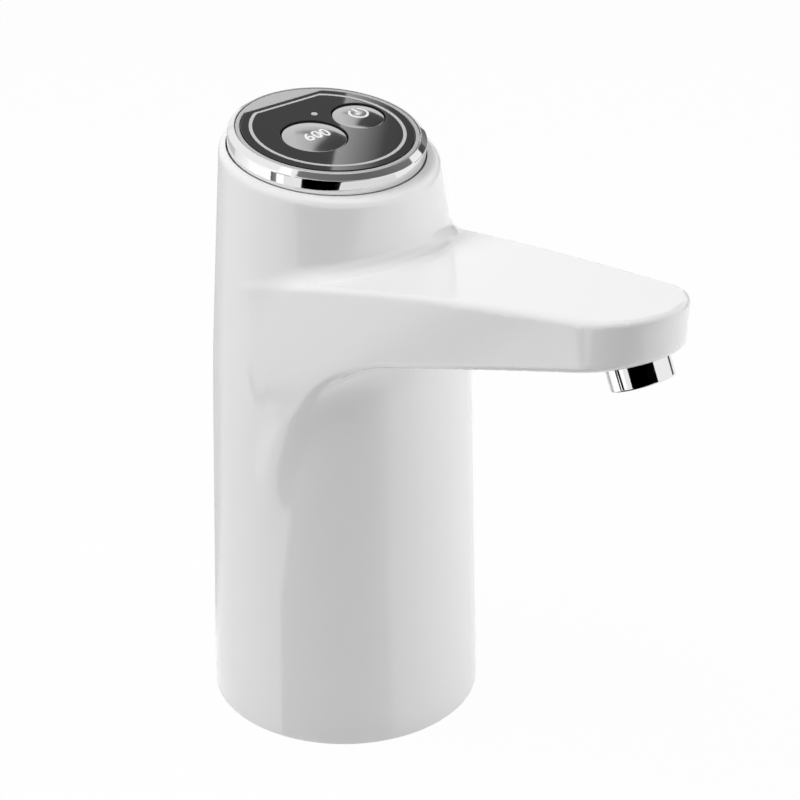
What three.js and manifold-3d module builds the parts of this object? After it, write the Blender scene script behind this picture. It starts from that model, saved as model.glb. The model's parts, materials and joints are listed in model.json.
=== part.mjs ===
import * as THREE from 'three';
import { mergeVertices } from 'three/addons/utils/BufferGeometryUtils.js';
import Module from 'manifold-3d';

const wasm = await Module();
wasm.setup();

// Electric water jug pump. Lengths are in millimetres and angles in degrees. +Z is up and the spout
// points toward -Y. The origin is the centre of the base, on the axis of the jug's neck.

// Fits, shared walls and facet counts
const GAP = 0.3;
const OVERRUN = 1;
const WALL = 2.2;
const WELD = 0.0001;
const BODY_FACETS = 48;
const RING_FACETS = 32;
const ROUND_FACETS = 16;
const SMALL_FACETS = 8;
const TIP_FACETS = 8;
const ROOT_FACETS = 3;
const SCOOP_FACETS = 6;
const LEAD_FACETS = 6;
const CORD_FACETS = 5;
const SEEK_PASSES = 12;

// Body: a drafted round column whose upper half leans back, so that its back line stays straight
const BASE_RADIUS = 36;
const BODY_DRAFT = 1.415;
const LEAN_HEIGHT = 98;
const LEAN_ANGLE = 4.8;
const BODY_RING_SHARES = [0, 0.5, 1];
const LEAN_RING_SHARE = 0.5;

// Control panel: a tilted disc at the top of the body
const PANEL_HEIGHT = 158.3;
const PANEL_AXIS_DROP = 3.02;
const PANEL_TILT = 6.8;
const RIM_DROP = 5.1;
const RIM_ROUND = 2.5;
const TRIM_INSET = 1.976;
const TRIM_BEVEL = 1.55;
const TRIM_BEVEL_DROP = 1.2;
const TRIM_DEPTH = 9;
const TRIM_WALL = 1.15;
const TRIM_LEDGE = 1.5;
const TRIM_LEDGE_THICKNESS = 1.3;
const BEZEL_MARGIN = 0.5;
const BEZEL_DROP = 0.35;
const BEZEL_UNDERSIDE = 3;
const LENS_MARGIN = 1.22;
const LENS_CHORD_DEPTH = 3.73;
const LENS_THICKNESS = 1.2;
const SHELF_THICKNESS = 2;
const SHELF_OVERHANG = 2.15;

// Push buttons; their shares are x, y and radius over the lens's radius
const BUTTON_TRAVEL = 0.5;
const BUTTON_CROWN = 0.75;
const BUTTON_EDGE_DROP = 0.35;
const BUTTON_FLANGE = 0.7;
const BUTTON_FLANGE_THICKNESS = 0.8;
const STEM_RADIUS = 1.6;
const STEM_LENGTH = 0.4;
const DOSE_SHARES = [-0.2342, -0.0459, 0.3765];
const POWER_SHARES = [0.5234, 0.0895, 0.3076];
const CROWN_SHARES = [[0, 1], [0.37, 0.9], [0.73, 0.56], [0.93, 0.2]];

// Status light
const LIGHT_SHARES = [0.1148, 0.3949, 0.039];
const LIGHT_FLANGE_RADIUS = 1.8;
const LED_LENGTH = 2;
const LED_WIDTH = 1.6;
const LED_HEIGHT = 0.8;

// Control board and its switches
const BOARD_INSET = 4.05;
const BOARD_THICKNESS = 1.2;
const BOARD_DEPTH = 9;
const SWITCH_WIDTH = 6.2;
const SWITCH_HEIGHT = 3.1;
const PLUNGER_RADIUS = 1.7;
const PLUNGER_LENGTH = 2.2;
const BOARD_POST_RADIUS = 2.3;
const BOARD_POST_INSET = 2.8;
const BOARD_POST_ANGLES = [130, 230, 305];

// Arm: rises toward its rounded tip and hangs on the body by a scooped root
const ARM_ROOT_Y = -5;
const ARM_TIP_Y = -115;
const ARM_ROOT_DROP = 30.9;
const ARM_TIP_DROP = 7.4;
const ARM_ARCH = 1.6;
const ARM_TOP_ROUND = 2.2;
const ARM_BOTTOM_ROUND = 1.6;
const ARM_UNDERSIDE_DROP = 16.9;
const ARM_UNDER_SLOPE = 18.5;
const SCOOP_RADIUS = 49;
const SCOOP_FOOT_Y = -11;
const ARM_TIP_RADIUS = 17.3;
const ARM_TOP_OUTLINE = { rootY: -3.5, rootInset: 5.6, tipInset: 0 };
const ARM_LOW_OUTLINE = { rootY: 0, rootInset: 2.5, tipInset: 0.5 };
const ARM_TIP_CENTRE_Y = -97.8;
const ARM_SIDE_SHARES = [0.3, 0.6, 0.9];
const ARM_ROOT_DEPTH_SHARE = 0.6;
const ARM_ROOT_RISE = 3.5;
const LEDGE_FILLET = 5;
const LEDGE_SHARES = [-0.2, 0, 0.1, 0.3, 0.6, 1];

// Nozzle under the arm's tip
const NOZZLE = { y: -107.9, drop: 9.8, tilt: 25.9 };
const NOZZLE_RADIUS = 7.65;
const NOZZLE_WALL = 0.9;
const NOZZLE_LIP = 0.35;
const NOZZLE_SEAT = 9.9;
const NOZZLE_FLANGE_RADIUS = 8.8;
const NOZZLE_FLANGE_THICKNESS = 0.8;
const NOZZLE_BOSS_RADIUS = 9.8;
const NOZZLE_BOSS_DEPTH = 5;
const NOZZLE_RECESS = 3;

// Spout tube and the elbow that joins it to the nozzle
const TUBE_RADIUS = 3.5;
const TUBE_BORE = 2.5;
const TUBE_BEND_DROP = 31.4;
const TUBE_BEND_END_Y = -52;
const TUBE_BEND_PULL = 20;
const TUBE_END_SHARES = [0.4, 0.8];
const TUBE_STEPS = 26;
const BARB_RADIUS = 2.2;
const BARB_BORE = 1.4;
const BARB_REACH = 8;
const ELBOW_FLANGE_RADIUS = 8.4;
const ELBOW_FLANGE_THICKNESS = 1;
const ELBOW_NECK_RADIUS = 3.4;
const ELBOW_NECK_HEIGHT = 2.9;
const ELBOW_STUB_RADIUS = 2.9;
const ELBOW_STUB_LENGTH = 9.6;
const ELBOW_STUB_SLOPE = 15;
const ELBOW_STUB_RISE = 0.9;
const ELBOW_MOUTH_RADIUS = 3;
const SEAL_CORD = 0.5;
const NOZZLE_SEAL_SHARE = 0.7;

// Neck socket
const SLEEVE_ROOM = 3.5;
const SLEEVE_WALL = 2;
const SLEEVE_BOTTOM = 0.9;
const SLEEVE_RIB = 2.2;
const SLEEVE_LIP = 0.5;
const SLEEVE_LIP_SHARES = [0.33, 0.66];
const SEAL_THICKNESS = 1.5;
const SEAL_CLEARANCE = 1.26;
const SOCKET_DEPTH = 38;

// Chassis
const FLOOR_THICKNESS = 2.5;
const WELL_WALL = 1.4;
const WELL_HEIGHT = 57;
const CLAMP_LOW = 60;
const CLAMP_HIGH = 80;
const CLAMP_WEB = 8;
const PUMP_STANDOFF = 1.5;
const STANDOFF_RADIUS = 2.6;
const PILLAR_RADIUS = 3.2;
const PILLAR_INSET = 6.4;
const PILLAR_HEIGHT = 17;
const PILLAR_ANGLES = [40, 140, 270];

// Screws
const SCREW_RADIUS = 1.1;
const SCREW_HEAD_RADIUS = 2.3;
const SCREW_HEAD_HEIGHT = 1.2;
const CHASSIS_SCREW_LENGTH = 11;
const PUMP_SCREW_LENGTH = 12;
const BOARD_SCREW_LENGTH = 4.5;
const CHARGE_SCREW_LENGTH = 5;

// Motor
const MOTOR = { x: -11.5, y: 6 };
const MOTOR_RADIUS = 12;
const MOTOR_LENGTH = 30.7;
const MOTOR_WALL = 0.8;
const SHAFT_RADIUS = 1;
const SHAFT_TAIL = 1.5;
const ROTOR_RADIUS = 8.4;
const ROTOR_LENGTH = 17;
const ROTOR_LIFT = 6.7;
const ROTOR_SLOT = 1.4;
const ROTOR_SLOT_DEPTH = 3;
const COMMUTATOR_RADIUS = 2.6;
const COMMUTATOR_LENGTH = 3.2;
const MAGNET_THICKNESS = 2;
const MAGNET_HALF_ANGLE = 58;
const BUSH_RADIUS = 3;
const BUSH_LENGTH = 3;
const END_BELL_THICKNESS = 2;
const TERMINAL = { offset: 4.5, width: 2, thickness: 0.5, height: 3.2 };

// Gear pump under the motor
const GEAR_MODULE = 0.8;
const GEAR_TEETH = 12;
const GEAR_BACKLASH = 0.1;
const GEAR_WIDTH = 5.7;
const TOOTH_THICKNESS_SHARE = 0.44;
const TOOTH_ADDENDUM_SHARE = 0.75;
const TOOTH_DEDENDUM_SHARE = 1.1;
const TOOTH_STEP_SHARES = [0, 0.35, 0.7, 1];
const PRESSURE_ANGLE = 20;
const PUMP_MOTOR_END_RADIUS = 13;
const PUMP_FRONT_RADIUS = 10.2;
const PUMP_COVER_THICKNESS = 3.3;
const GASKET_THICKNESS = 0.7;
const PUMP_BODY_HEIGHT = 8.1;
const PORT_OFFSET = 4.6;
const PORT_RADIUS = 1.5;
const PORT_CHAMBER = 4;
const OUTLET = { x: -3.6, y: -13.5 };
const OUTLET_LUG_RADIUS = 4;
const CHANNEL_RADIUS = 1.3;
const SHAFT_SEAL_RADIUS = 3.2;
const SHAFT_SEAL_THICKNESS = 0.9;
const IDLER_HOLD = 0.8;
const PUMP_BACK_SCREW = { x: 9, y: 6.5 };
const PUMP_FRONT_SCREW = { x: -3, y: -17.45 };

// Intake nipple under the pump
const NIPPLE_RADIUS = 4;
const NIPPLE_BORE = 2.5;
const NIPPLE_BOTTOM = 10;
const NIPPLE_BARB = 0.6;
const NIPPLE_BARB_PITCH = 5;
const NIPPLE_FLANGE_RADIUS = 6.2;
const NIPPLE_FLANGE_THICKNESS = 1.2;
const NIPPLE_RING_DEPTH = 1.45;

// Battery
const BATTERY = { x: 14, y: 4 };
const CELL_RADIUS = 9.2;
const CELL_LENGTH = 65;
const CELL_ROUND = 0.8;
const CELL_POLE_RADIUS = 3;
const CELL_POLE_HEIGHT = 1;

// Charging board and its socket at the back, set in from the body's radius
const CHARGE_HEIGHT = 56;
const CHARGE_BOARD = { halfWidth: 9.6, inset: 7, reach: 8.7, thickness: 1.2 };
const CHARGE_POST = { x: 7.2, inset: 12, radius: 2.2 };
const SOCKET = { halfWidth: 4.47, height: 3.2, inset: 4.3, reach: 7.3, wall: 0.35, depth: 6 };
const SOCKET_TONGUE = { halfWidth: 3.3, thickness: 0.7, reach: 5 };
const PORT_MARGIN = 0.25;

// Wires
const LEAD_RADIUS = 0.6;
const LEAD_STEPS = 10;
const LEAD_PULL_SHARE = 0.3;
const MOTOR_PADS = { x: -11.5, y: 2, spread: 3 };
const BATTERY_PADS = { x: 12, y: -4, spread: 2.5 };
const CHARGE_PADS = { x: 0, y: 14.5, spread: 3 };
const CHARGE_LEAD_INSET = 14.2;

const radians = THREE.MathUtils.degToRad;

// Body surfaces

const draftRadius = (z) => BASE_RADIUS - z * Math.tan(radians(BODY_DRAFT));

const bodyBack = (z) => Math.max(0, z - LEAN_HEIGHT) * Math.tan(radians(LEAN_ANGLE));

const bodyRadius = (z) => draftRadius(z) - bodyBack(z);

// Radii and places that follow from the sizes above
const panelBack = bodyBack(PANEL_HEIGHT - PANEL_AXIS_DROP);
const trimRadius = bodyRadius(PANEL_HEIGHT) - TRIM_INSET;
const trimTopRadius = trimRadius - TRIM_BEVEL;
const bezelRadius = trimTopRadius - BEZEL_MARGIN;
const trimBore = bezelRadius + GAP;
const lensRadius = bezelRadius - LENS_MARGIN;
const lensChord = lensRadius - LENS_CHORD_DEPTH;
const boardRadius = trimRadius - BOARD_INSET;
const boardPostReach = boardRadius - BOARD_POST_INSET;
const neckRadius = BASE_RADIUS - WALL - SLEEVE_ROOM - SLEEVE_WALL;
const pillarReach = BASE_RADIUS - PILLAR_INSET;
const chargePostY = BASE_RADIUS - CHARGE_POST.inset;
const socketBack = BASE_RADIUS - SOCKET.inset;

const onLens = (shares) => {
  const [x, y, radius] = shares.map((share) => share * lensRadius);
  return { x, y, radius };
};
const dose = onLens(DOSE_SHARES);
const power = onLens(POWER_SHARES);
const light = onLens(LIGHT_SHARES);

// Heights that follow from the sizes above
const leanRing = LEAN_HEIGHT + (PANEL_HEIGHT - LEAN_HEIGHT) * LEAN_RING_SHARE;
const bodyRingHeights = [...BODY_RING_SHARES.map((share) => share * LEAN_HEIGHT), leanRing];
const armRootTop = PANEL_HEIGHT - ARM_ROOT_DROP;
const armTipTop = PANEL_HEIGHT - ARM_TIP_DROP;
const armTipUnderside = PANEL_HEIGHT - ARM_UNDERSIDE_DROP;
const tubeBendStart = armRootTop - TUBE_BEND_DROP;
const floorTop = SOCKET_DEPTH + FLOOR_THICKNESS;
const coverBottom = floorTop + PUMP_STANDOFF + GAP;
const coverTop = coverBottom + PUMP_COVER_THICKNESS;
const gasketBottom = coverTop + GAP;
const pumpBottom = gasketBottom + GASKET_THICKNESS + GAP;
const pumpTop = pumpBottom + PUMP_BODY_HEIGHT;
const gearBottom = pumpBottom + GAP;
const gearTop = gearBottom + GEAR_WIDTH;
const motorBottom = pumpTop + GAP;
const motorTop = motorBottom + MOTOR_LENGTH;
const bellTop = motorTop + GAP + END_BELL_THICKNESS;
const cellBottom = floorTop + GAP;
const cellTop = cellBottom + CELL_LENGTH + CELL_POLE_HEIGHT;
const gearSpacing = GEAR_MODULE * GEAR_TEETH + GEAR_BACKLASH;
const idlerY = MOTOR.y - gearSpacing;
const meshY = (MOTOR.y + idlerY) / 2;
const switchTop = GAP + SWITCH_HEIGHT - BOARD_DEPTH;
const stemBottom = -(BEZEL_UNDERSIDE + GAP + BUTTON_FLANGE_THICKNESS + STEM_LENGTH);
const boardUnderside = -(BOARD_DEPTH + BOARD_THICKNESS);
const elbowTop = NOZZLE_SEAT + GAP + NOZZLE_FLANGE_THICKNESS + GAP + ELBOW_FLANGE_THICKNESS;
const nozzleBore = NOZZLE_RADIUS - NOZZLE_WALL;

const panel = new THREE.Group();
panel.position.set(0, panelBack, PANEL_HEIGHT);
panel.rotation.x = radians(PANEL_TILT);
panel.updateMatrix();

const nozzleGroup = new THREE.Group();
nozzleGroup.position.set(0, NOZZLE.y, armTipUnderside - NOZZLE.drop);
nozzleGroup.rotation.x = -radians(NOZZLE.tilt);
nozzleGroup.updateMatrix();

// Solids and booleans

function solid(geometry) {
  const bare = geometry.index ? geometry.toNonIndexed() : geometry.clone();
  bare.deleteAttribute('normal');
  bare.deleteAttribute('uv');
  const welded = mergeVertices(bare, WELD);
  const triVerts = [];
  const corners = welded.index.array;
  for (let i = 0; i < corners.length; i += 3) {
    const [a, b, c] = corners.slice(i, i + 3);
    if (a !== b && b !== c && c !== a) triVerts.push(a, b, c);
  }
  return new wasm.Manifold(new wasm.Mesh({
    numProp: 3,
    vertProperties: welded.attributes.position.array,
    triVerts: new Uint32Array(triVerts),
  }));
}

function geometryOf(shape) {
  const mesh = shape.getMesh();
  const geometry = new THREE.BufferGeometry();
  geometry.setAttribute('position', new THREE.BufferAttribute(mesh.vertProperties, 3));
  geometry.setIndex(new THREE.BufferAttribute(mesh.triVerts, 1));
  geometry.computeVertexNormals();
  return geometry;
}

const join = (...geometries) => geometries.map(solid).reduce((all, next) => all.add(next));

const cut = (base, ...tools) => tools.reduce((rest, tool) => rest.subtract(solid(tool)), base);

// Shape makers

// A turned piece, from its closed half section of [radius, height] points
function turned(section, facets = ROUND_FACETS) {
  const points = section.map(([radius, height]) => new THREE.Vector2(radius, height));
  points.push(points[0].clone());
  if (THREE.ShapeUtils.isClockWise(points)) points.reverse();
  return new THREE.LatheGeometry(points, facets).rotateX(Math.PI / 2);
}

const rod = (radius, low, high, facets = ROUND_FACETS) =>
  turned([[0, low], [radius, low], [radius, high], [0, high]], facets);

const tubeSection = (bore, radius, low, high) =>
  [[bore, low], [radius, low], [radius, high], [bore, high]];

const pipe = (bore, radius, low, high, facets = ROUND_FACETS) =>
  turned(tubeSection(bore, radius, low, high), facets);

const block = (low, high) =>
  new THREE.BoxGeometry(high[0] - low[0], high[1] - low[1], high[2] - low[2])
    .translate((low[0] + high[0]) / 2, (low[1] + high[1]) / 2, (low[2] + high[2]) / 2);

const plate = (shape, low, high, facets = ROUND_FACETS) =>
  new THREE.ExtrudeGeometry(shape, { depth: high - low, bevelEnabled: false, curveSegments: facets / 2 })
    .translate(0, 0, low);

const torus = (radius, cord, height) =>
  new THREE.TorusGeometry(radius, cord, CORD_FACETS, ROUND_FACETS).translate(0, 0, height);

const polar = (reach, angle) => ({
  x: reach * Math.cos(radians(angle)),
  y: reach * Math.sin(radians(angle)),
});

const swept = (shape, path, steps, facets = SMALL_FACETS) =>
  new THREE.ExtrudeGeometry(shape, { extrudePath: path, steps, curveSegments: facets / 2 });

function circle(radius, x = 0, y = 0) {
  const shape = new THREE.Shape();
  shape.absarc(x, y, radius, 0, 2 * Math.PI);
  return shape;
}

// A closed skin over rings with equal counts of points, each counterclockwise from above, low to
// high. A ladder lid joins each ring's mirrored points; a plain lid is a fan round the middle.
function loft(rings, ladder = false) {
  const count = rings[0].length;
  const points = rings.flat();
  const index = [];
  for (let ring = 0; ring + 1 < rings.length; ring++) {
    for (let i = 0; i < count; i++) {
      const a = ring * count + i;
      const b = ring * count + (i + 1) % count;
      index.push(a, b, b + count, a, b + count, a + count);
    }
  }
  for (const [first, flip] of [[0, true], [(rings.length - 1) * count, false]]) {
    const face = (a, b, c) => index.push(...(flip ? [c, b, a] : [a, b, c]));
    if (ladder) {
      for (let i = 0; i < count / 2 - 1; i++) {
        const j = count - 1 - i;
        face(first + i, first + i + 1, first + j - 1);
        face(first + i, first + j - 1, first + j);
      }
    } else {
      const middle = points.slice(first, first + count)
        .reduce((sum, point) => sum.add(point), new THREE.Vector3()).divideScalar(count);
      points.push(middle);
      for (let i = 0; i < count; i++) face(points.length - 1, first + i, first + (i + 1) % count);
    }
  }
  const geometry = new THREE.BufferGeometry().setFromPoints(points);
  geometry.setIndex(index);
  return geometry;
}

// The point of the body's skin at an angle, at the height that a surface over x and y gives
function skinPoint(angle, inset, surface) {
  const point = new THREE.Vector3(0, 0, LEAN_HEIGHT);
  for (let pass = 0; pass < SEEK_PASSES; pass++) {
    const radius = bodyRadius(point.z) - inset;
    point.set(radius * Math.cos(angle), bodyBack(point.z) + radius * Math.sin(angle), point.z);
    point.z = surface(point);
  }
  return point;
}

function skinRing(inset, surface) {
  return Array.from({ length: BODY_FACETS }, (_, i) =>
    skinPoint((2 * Math.PI * i) / BODY_FACETS, inset, surface));
}

const level = (z) => () => z;

// The height of the plane that lies a given depth below the panel
const belowPanel = (depth) => (point) =>
  PANEL_HEIGHT + (point.y - panelBack) * Math.tan(radians(PANEL_TILT))
    - depth / Math.cos(radians(PANEL_TILT));

const roundInset = (share) => 1 - Math.sqrt(1 - share * share);

function bodyOuter() {
  const rings = bodyRingHeights.map((z) => skinRing(0, level(z)));
  for (const share of [0, 0.5, 0.85, 1]) {
    const rise = (share - 1) * RIM_ROUND;
    rings.push(skinRing(roundInset(share) * RIM_ROUND, belowPanel(RIM_DROP - rise)));
  }
  return loft(rings);
}

function bodyCavity() {
  const rings = [-OVERRUN, ...bodyRingHeights.slice(1)].map((z) => skinRing(WALL, level(z)));
  rings.push(skinRing(WALL, belowPanel(TRIM_DEPTH + GAP + SHELF_THICKNESS)));
  return loft(rings);
}

// Arm surfaces

function armTop(y) {
  const share = (ARM_ROOT_Y - y) / (ARM_ROOT_Y - ARM_TIP_Y);
  return armRootTop + (armTipTop - armRootTop) * share + 4 * ARM_ARCH * share * (1 - share);
}

const underSlope = radians(ARM_UNDER_SLOPE);
const scoopY = SCOOP_FOOT_Y - SCOOP_RADIUS;
const underLine = (y) => armTipUnderside - (y - ARM_TIP_Y) * Math.tan(underSlope);
const scoopZ = underLine(scoopY) - SCOOP_RADIUS / Math.cos(underSlope);

// The underside's height, or its inner face at a wall's thickness above it
function armUnder(y, wall = 0) {
  const radius = SCOOP_RADIUS + wall;
  if (y < scoopY + radius * Math.sin(underSlope)) return underLine(y) + wall / Math.cos(underSlope);
  return scoopZ + Math.sqrt(Math.max(0, radius * radius - (y - scoopY) * (y - scoopY)));
}

// One ring of the arm: a root end inside the body, a round root, a straight side and half of the
// round tip, then the same mirrored
function armRing(outline, inset, height) {
  const fullRadius = BASE_RADIUS - outline.rootInset;
  const rootRadius = fullRadius - inset;
  const tipRadius = ARM_TIP_RADIUS - outline.tipInset - inset;
  const taper = Math.asin((rootRadius - tipRadius) / (outline.rootY - ARM_TIP_CENTRE_Y));
  const reach = rootRadius - Math.sin(taper) * outline.rootY;
  const side = (y) => ({ x: -(reach + Math.sin(taper) * y) / Math.cos(taper), y });
  const half = [{ x: -rootRadius * ARM_ROOT_DEPTH_SHARE, y: outline.rootY + ARM_ROOT_RISE }];
  const rootTurn = Math.asin(ARM_ROOT_RISE / fullRadius);
  for (let i = 0; i <= ROOT_FACETS; i++) {
    const turn = Math.PI - rootTurn + (rootTurn + taper) * (i / ROOT_FACETS);
    half.push({ x: rootRadius * Math.cos(turn), y: outline.rootY + rootRadius * Math.sin(turn) });
  }
  for (let i = 0; i <= SCOOP_FACETS; i++) {
    const turn = (i / SCOOP_FACETS) * (Math.PI / 2 - underSlope);
    half.push(side(scoopY + SCOOP_RADIUS * Math.cos(turn)));
  }
  const straightStart = half[half.length - 1].y;
  for (const share of ARM_SIDE_SHARES) {
    half.push(side(straightStart + (ARM_TIP_CENTRE_Y - straightStart) * share));
  }
  for (let i = 0; i < TIP_FACETS; i++) {
    const turn = Math.PI + taper + (Math.PI / 2 - taper) * (i / (TIP_FACETS - 0.5));
    half.push({ x: tipRadius * Math.cos(turn), y: ARM_TIP_CENTRE_Y + tipRadius * Math.sin(turn) });
  }
  const mirrored = half.map(({ x, y }) => ({ x: -x, y })).reverse();
  return [...half, ...mirrored].map(({ x, y }) => new THREE.Vector3(x, y, height(y)));
}

function armOuter() {
  const rings = [];
  for (const share of [1, 0.6, 0]) {
    const rise = (1 - share) * ARM_BOTTOM_ROUND;
    const inset = roundInset(share) * ARM_BOTTOM_ROUND;
    rings.push(armRing(ARM_LOW_OUTLINE, inset, (y) => armUnder(y) + rise));
  }
  for (const share of [0, 0.6, 1]) {
    const drop = (1 - share) * ARM_TOP_ROUND;
    rings.push(armRing(ARM_TOP_OUTLINE, roundInset(share) * ARM_TOP_ROUND, (y) => armTop(y) - drop));
  }
  return loft(rings, true);
}

function armCavity() {
  return loft([
    armRing(ARM_LOW_OUTLINE, WALL, (y) => armUnder(y, WALL)),
    armRing(ARM_TOP_OUTLINE, WALL, (y) => armTop(y) - WALL),
  ], true);
}

// The concave fillet where the upper body rises out of the arm, inside the arm's outline
function ledgeFillet() {
  const rings = LEDGE_SHARES.map((share) => {
    const rest = 1 - Math.max(0, share);
    const outset = LEDGE_FILLET * (1 - Math.sqrt(1 - rest * rest));
    return skinRing(-outset, (point) => armTop(point.y) + share * LEDGE_FILLET);
  });
  const outline = loft([
    armRing(ARM_TOP_OUTLINE, 0, level(LEAN_HEIGHT)),
    armRing(ARM_TOP_OUTLINE, 0, level(PANEL_HEIGHT)),
  ], true);
  return solid(loft(rings)).intersect(solid(outline));
}

// Outer shell

function outerShell() {
  const outer = join(bodyOuter(), armOuter()).add(ledgeFillet());
  const inPanel = (geometry) => geometry.applyMatrix4(panel.matrix);
  const inNozzle = (geometry) => geometry.applyMatrix4(nozzleGroup.matrix);
  const trimSeat = TRIM_DEPTH + GAP;
  const shelfRadius = trimRadius + GAP - SHELF_OVERHANG;
  let shell = cut(
    outer,
    bodyCavity(),
    armCavity(),
    inPanel(rod(shelfRadius, -trimSeat - SHELF_THICKNESS - OVERRUN, -trimSeat + OVERRUN, RING_FACETS)),
    inPanel(rod(trimRadius + GAP, -trimSeat, OVERRUN, RING_FACETS)),
  );
  const boss = inNozzle(rod(NOZZLE_BOSS_RADIUS, NOZZLE_BOSS_DEPTH, NOZZLE_SEAT));
  shell = shell.add(solid(boss).intersect(outer));
  for (const angle of PILLAR_ANGLES) {
    const { x, y } = polar(pillarReach, angle);
    const low = floorTop + GAP;
    shell = shell.add(solid(rod(PILLAR_RADIUS, low, low + PILLAR_HEIGHT).translate(x, y, 0)));
    const high = screwSeat + CHASSIS_SCREW_LENGTH + OVERRUN;
    const pilot = rod(SCREW_RADIUS + GAP, low - OVERRUN, high, SMALL_FACETS);
    shell = cut(shell, pilot.translate(x, y, 0));
  }
  return cut(
    shell,
    inNozzle(rod(NOZZLE_RADIUS + GAP, -NOZZLE_BOSS_DEPTH, NOZZLE_SEAT + OVERRUN)),
    inNozzle(rod(NOZZLE_FLANGE_RADIUS + GAP, NOZZLE_SEAT, elbowTop + GAP)),
    chargeOpening(),
  );
}

const socketMiddle = () =>
  CHARGE_HEIGHT + CHARGE_BOARD.thickness + GAP + SOCKET.height / 2;

// The slot in the back wall for the charging plug
function chargeOpening() {
  const half = SOCKET.halfWidth + PORT_MARGIN;
  const round = SOCKET.height / 2 + PORT_MARGIN;
  const slot = new THREE.Shape();
  slot.absarc(half - round, 0, round, -Math.PI / 2, Math.PI / 2);
  slot.absarc(round - half, 0, round, Math.PI / 2, (3 * Math.PI) / 2);
  return plate(slot, 0, WALL * 2 + OVERRUN, SMALL_FACETS)
    .rotateX(-Math.PI / 2)
    .translate(0, socketBack, socketMiddle());
}

// Panel pieces, in the panel's own frame

function trimRing() {
  const ledgeTop = -(BEZEL_UNDERSIDE + GAP);
  const ledgeBottom = ledgeTop - TRIM_LEDGE_THICKNESS;
  return turned([
    [trimRadius - TRIM_WALL, -TRIM_DEPTH],
    [trimRadius, -TRIM_DEPTH],
    [trimRadius, -TRIM_BEVEL_DROP],
    [trimTopRadius, 0],
    [trimBore, -BEZEL_DROP],
    [trimBore, ledgeTop],
    [trimBore - TRIM_LEDGE, ledgeTop],
    [trimBore - TRIM_LEDGE, ledgeBottom],
    [trimRadius - TRIM_WALL, ledgeBottom],
  ], RING_FACETS);
}

// The lens outline, a circle with a straight chord at the back, widened by a margin
function lensOutline(margin) {
  const radius = lensRadius + margin;
  const start = Math.asin((lensChord + margin) / radius);
  const shape = new THREE.Shape();
  shape.absarc(0, 0, radius, Math.PI - start, 2 * Math.PI + start);
  return shape;
}

function panelHoles() {
  return [
    circle(dose.radius + GAP, dose.x, dose.y),
    circle(power.radius + GAP, power.x, power.y),
    circle(light.radius + GAP, light.x, light.y),
  ];
}

function panelLens() {
  const shape = lensOutline(0);
  shape.holes.push(...panelHoles());
  return plate(shape, -LENS_THICKNESS, 0, RING_FACETS);
}

function panelBezel() {
  const disc = circle(bezelRadius);
  disc.holes.push(...panelHoles());
  let bezel = cut(
    solid(plate(disc, -BEZEL_UNDERSIDE, -BEZEL_DROP, RING_FACETS)),
    plate(lensOutline(GAP), -LENS_THICKNESS - GAP, OVERRUN, RING_FACETS),
  );
  for (const angle of BOARD_POST_ANGLES) {
    const { x, y } = polar(boardPostReach, angle);
    const low = GAP - BOARD_DEPTH;
    bezel = bezel.add(solid(rod(BOARD_POST_RADIUS, low, -BEZEL_UNDERSIDE, SMALL_FACETS).translate(x, y, 0)));
    const pilotTop = boardUnderside + BOARD_SCREW_LENGTH + GAP;
    bezel = cut(bezel, rod(SCREW_RADIUS + GAP, low - OVERRUN, pilotTop, SMALL_FACETS).translate(x, y, 0));
  }
  return bezel;
}

function button({ radius }) {
  const crown = CROWN_SHARES.map(([out, up]) =>
    [radius * out, (BUTTON_CROWN + BUTTON_EDGE_DROP) * up - BUTTON_EDGE_DROP]);
  const flangeTop = -(BEZEL_UNDERSIDE + GAP);
  const flangeBottom = flangeTop - BUTTON_FLANGE_THICKNESS;
  return turned([
    ...crown,
    [radius, -BUTTON_EDGE_DROP],
    [radius, flangeTop],
    [radius + BUTTON_FLANGE, flangeTop],
    [radius + BUTTON_FLANGE, flangeBottom],
    [STEM_RADIUS, flangeBottom],
    [STEM_RADIUS, stemBottom],
    [0, stemBottom],
  ], RING_FACETS);
}

function tactSwitch() {
  const half = SWITCH_WIDTH / 2;
  const low = GAP - BOARD_DEPTH;
  const floor = stemBottom - GAP - PLUNGER_LENGTH - BUTTON_TRAVEL - GAP;
  return cut(
    solid(block([-half, -half, low], [half, half, switchTop])),
    rod(PLUNGER_RADIUS + GAP, floor, switchTop + OVERRUN, SMALL_FACETS),
  );
}

const plunger = () =>
  rod(PLUNGER_RADIUS, stemBottom - GAP - PLUNGER_LENGTH, stemBottom - GAP, SMALL_FACETS);

function controlBoard() {
  const disc = circle(boardRadius);
  for (const angle of BOARD_POST_ANGLES) {
    const { x, y } = polar(boardPostReach, angle);
    disc.holes.push(circle(SCREW_RADIUS + GAP, x, y));
  }
  return plate(disc, boardUnderside, -BOARD_DEPTH);
}

function lightPipe() {
  const flangeTop = -(BEZEL_UNDERSIDE + GAP);
  return turned([
    [0, 0],
    [light.radius, 0],
    [light.radius, flangeTop],
    [LIGHT_FLANGE_RADIUS, flangeTop],
    [LIGHT_FLANGE_RADIUS, flangeTop - BUTTON_FLANGE_THICKNESS],
    [light.radius, flangeTop - BUTTON_FLANGE_THICKNESS],
    [light.radius, GAP + LED_HEIGHT + GAP - BOARD_DEPTH],
    [0, GAP + LED_HEIGHT + GAP - BOARD_DEPTH],
  ], SMALL_FACETS);
}

function statusLed() {
  const low = GAP - BOARD_DEPTH;
  return block([-LED_LENGTH / 2, -LED_WIDTH / 2, low], [LED_LENGTH / 2, LED_WIDTH / 2, low + LED_HEIGHT]);
}

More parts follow.
